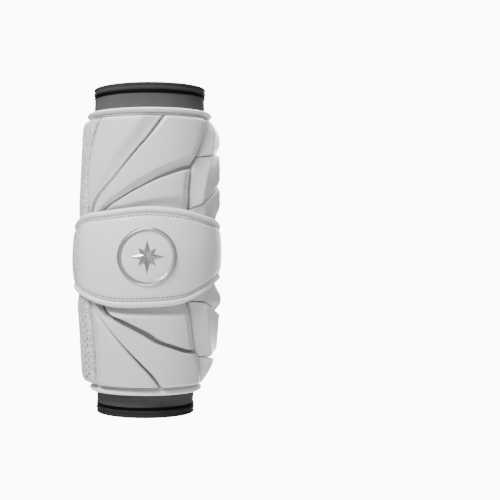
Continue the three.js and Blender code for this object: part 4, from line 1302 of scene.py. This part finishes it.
# Medallion
def on_cap(x, z, lift):
    """Points on the cap's face, at distances sideways and up from the medallion's middle."""
    height = MEDALLION_HEIGHT + z
    angle = np.degrees(np.arcsin(x / (SLEEVE_HALF_WIDTH + SLEEVE_HALF_DEPTH / 3)))
    return point_at(angle, height, cap_inner(angle, height) + CAP_SKIN + lift)


def build_ring():
    """The bevelled ring: a steep outer bevel, a narrow flat top, and a hollow inner bevel."""
    section = [
        (0.0, -0.3), (0.0, 0.4), (0.6, 1.0), (1.2, 1.6), (1.8, 2.2), (2.05, 2.4), (2.3, 2.5), (2.8, 2.5),
        (3.05, 2.45), (3.25, 2.0), (3.5, 1.35), (3.8, 1.1), (4.1, 1.2), (4.4, 1.15), (4.7, 0.6), (4.7, -0.3),
    ]
    profile = [(MEDALLION_RADIUS / MM - inward, lift) for inward, lift in section]
    turns = -np.linspace(0, 2 * math.pi, 160, endpoint=False)
    obj = ring_solid("medallion_bezel", profile, turns, on_cap, SILVER, sharp=60)
    finish_piece(obj, "silver", "medallion_ring")


def build_relief(name, node, slot, material, reach, profile, sharp=40):
    """A closed relief on the cap from a profile of shares of its reach and lifts in millimetres. reach
    has one value for each spoke."""
    turns = 2 * math.pi * np.arange(len(reach)) / len(reach)
    rings = [
        on_cap(reach * share * np.sin(turns), reach * share * np.cos(turns), lift * MM)
        for share, lift in profile
    ]
    points = []
    faces = []
    add_rings(points, faces, [rings[0][:1], *rings[1:]])
    finish_piece(mesh_object(name, points, faces, material, sharp=sharp), slot, node)


def build_disc():
    reach = np.full(120, MEDALLION_RADIUS - RING_WIDTH)
    flat = [(share, 0.5) for share in (0, 0.15, 0.3, 0.45, 0.6, 0.75, 0.9)]
    profile = [*flat, (0.97, 0.55), (1, 0.6), (1, -0.3)]
    build_relief("medallion_field", "medallion_disc", "leather", SMOOTH_LIT_LEATHER, reach, profile)


def build_emblem():
    """An eight-pointed star with four long rays and four short ones."""
    hollow, short = 0.4, 0.72
    reach = EMBLEM_RADIUS * np.array([1, hollow, short, hollow] * 4)
    profile = [(0, 2.6), (0.5, 2.0), (0.92, 1.35), (1, 0.9), (1, 0.2)]
    build_relief("medallion_star", "medallion_emblem", "silver", SILVER, reach, profile, sharp=10)


# Stage, light and camera
CAMERA_DISTANCE = 0.85
FRONT_PLANE = 0.80
FRAME_PIXELS = 500
PHOTO_CENTRE_X = 147
PHOTO_CENTRE_Y = 250.5
SENSOR = 36.0
WALL_GLOW = 10
LIGHTS = (
    ("key", (-0.66, -0.88, 1.08), 0.45, 41),
    ("fill", (0.35, -1.5, 0.15), 1.0, 6.5),
    ("overhead", (-0.1, -0.05, 1.4), 0.7, 14),
    ("bounce", (0, -0.1, -1.15), 0.8, 8),
    ("rear_key", (0.75, 0.75, 1.1), 0.45, 13),
)


def area_light(name, place, size, power):
    light = bpy.data.lights.new(name, "AREA")
    light.shape = "SQUARE"
    light.size = size
    light.energy = power
    obj = bpy.data.objects.new(name, light)
    obj.location = place
    obj.rotation_euler = (-Vector(place)).to_track_quat("-Z", "Y").to_euler()
    bpy.context.scene.collection.objects.link(obj)


def stage_sheet(name, corners, glow):
    mesh = bpy.data.meshes.new(name)
    mesh.from_pydata(corners, [], [(0, 1, 2, 3)])
    mesh.polygons.foreach_set("use_smooth", [True])
    material = bpy.data.materials.new(f"{name}_paper")
    material.use_nodes = True
    inputs = material.node_tree.nodes["Principled BSDF"].inputs
    inputs["Base Color"].default_value = (0.8, 0.8, 0.8, 1)
    inputs["Roughness"].default_value = 1
    inputs["Emission Color"].default_value = (1, 1, 1, 1)
    inputs["Emission Strength"].default_value = glow
    mesh.materials.append(material)
    obj = bpy.data.objects.new(name, mesh)
    bpy.context.scene.collection.objects.link(obj)


def build_stage():
    """A lit white wall that fills the picture behind the pad, and a plain floor well below it."""
    wall = [(-0.75, 2.5, -1.15), (1.6, 2.5, -1.15), (1.6, 2.5, 1.15), (-0.75, 2.5, 1.15)]
    floor = [(-4, -4, -1.2), (4, -4, -1.2), (4, 4, -1.2), (-4, 4, -1.2)]
    stage_sheet("backdrop", wall, WALL_GLOW)
    stage_sheet("floor", floor, 0)


def build_light():
    world = bpy.data.worlds.new("studio")
    world.use_nodes = True
    background = world.node_tree.nodes["Background"]
    background.inputs["Color"].default_value = (1, 1, 1, 1)
    background.inputs["Strength"].default_value = 0.26
    bpy.context.scene.world = world
    for light in LIGHTS:
        area_light(*light)


def build_camera():
    camera = bpy.data.cameras.new("camera")
    camera.sensor_width = SENSOR
    camera.lens = SENSOR * FRONT_PLANE / (FRAME_PIXELS * MM)
    camera.shift_x = (FRAME_PIXELS / 2 - PHOTO_CENTRE_X) / FRAME_PIXELS
    camera.shift_y = (PHOTO_CENTRE_Y - FRAME_PIXELS / 2) / FRAME_PIXELS
    obj = bpy.data.objects.new("camera", camera)
    obj.location = (0, -CAMERA_DISTANCE, 0)
    obj.rotation_euler = (math.pi / 2, 0, 0)
    bpy.context.scene.collection.objects.link(obj)
    bpy.context.scene.camera = obj


build_camera()
build_stage()
build_light()
build_sleeve()
build_hems()
for pad in (UPPER, LOWER):
    build_pad(pad)
for flap in (UPPER_FLAP, LOWER_FLAP):
    build_flap(flap)
for strap in (UPPER_STRAP, LOWER_STRAP):
    build_strap(strap)
for strap in (UPPER_STRAP, LOWER_STRAP):
    build_strap_stitches(strap)
build_pull_tab()
build_tab_ring()
cap_skin = build_cap_shell("elbow_cap_skin", CAP_STRIP_SEAM, CAP_REACH, SMOOTH_LIT_LEATHER)
build_cap_shell("elbow_cap_edge_mesh", -CAP_REACH, CAP_STRIP_SEAM - as_angle(0.6 * MM), SPACER)
build_cap_piping("elbow_cap_upper_piping", cap_top, 1, cap_skin)
build_cap_piping("elbow_cap_lower_piping", cap_bottom, -1, cap_skin)
build_lining()
build_side_tab("side_tab_right", 131, 111)
build_side_tab("side_tab_left", -128, -110)
build_ring()
build_disc()
build_emblem()
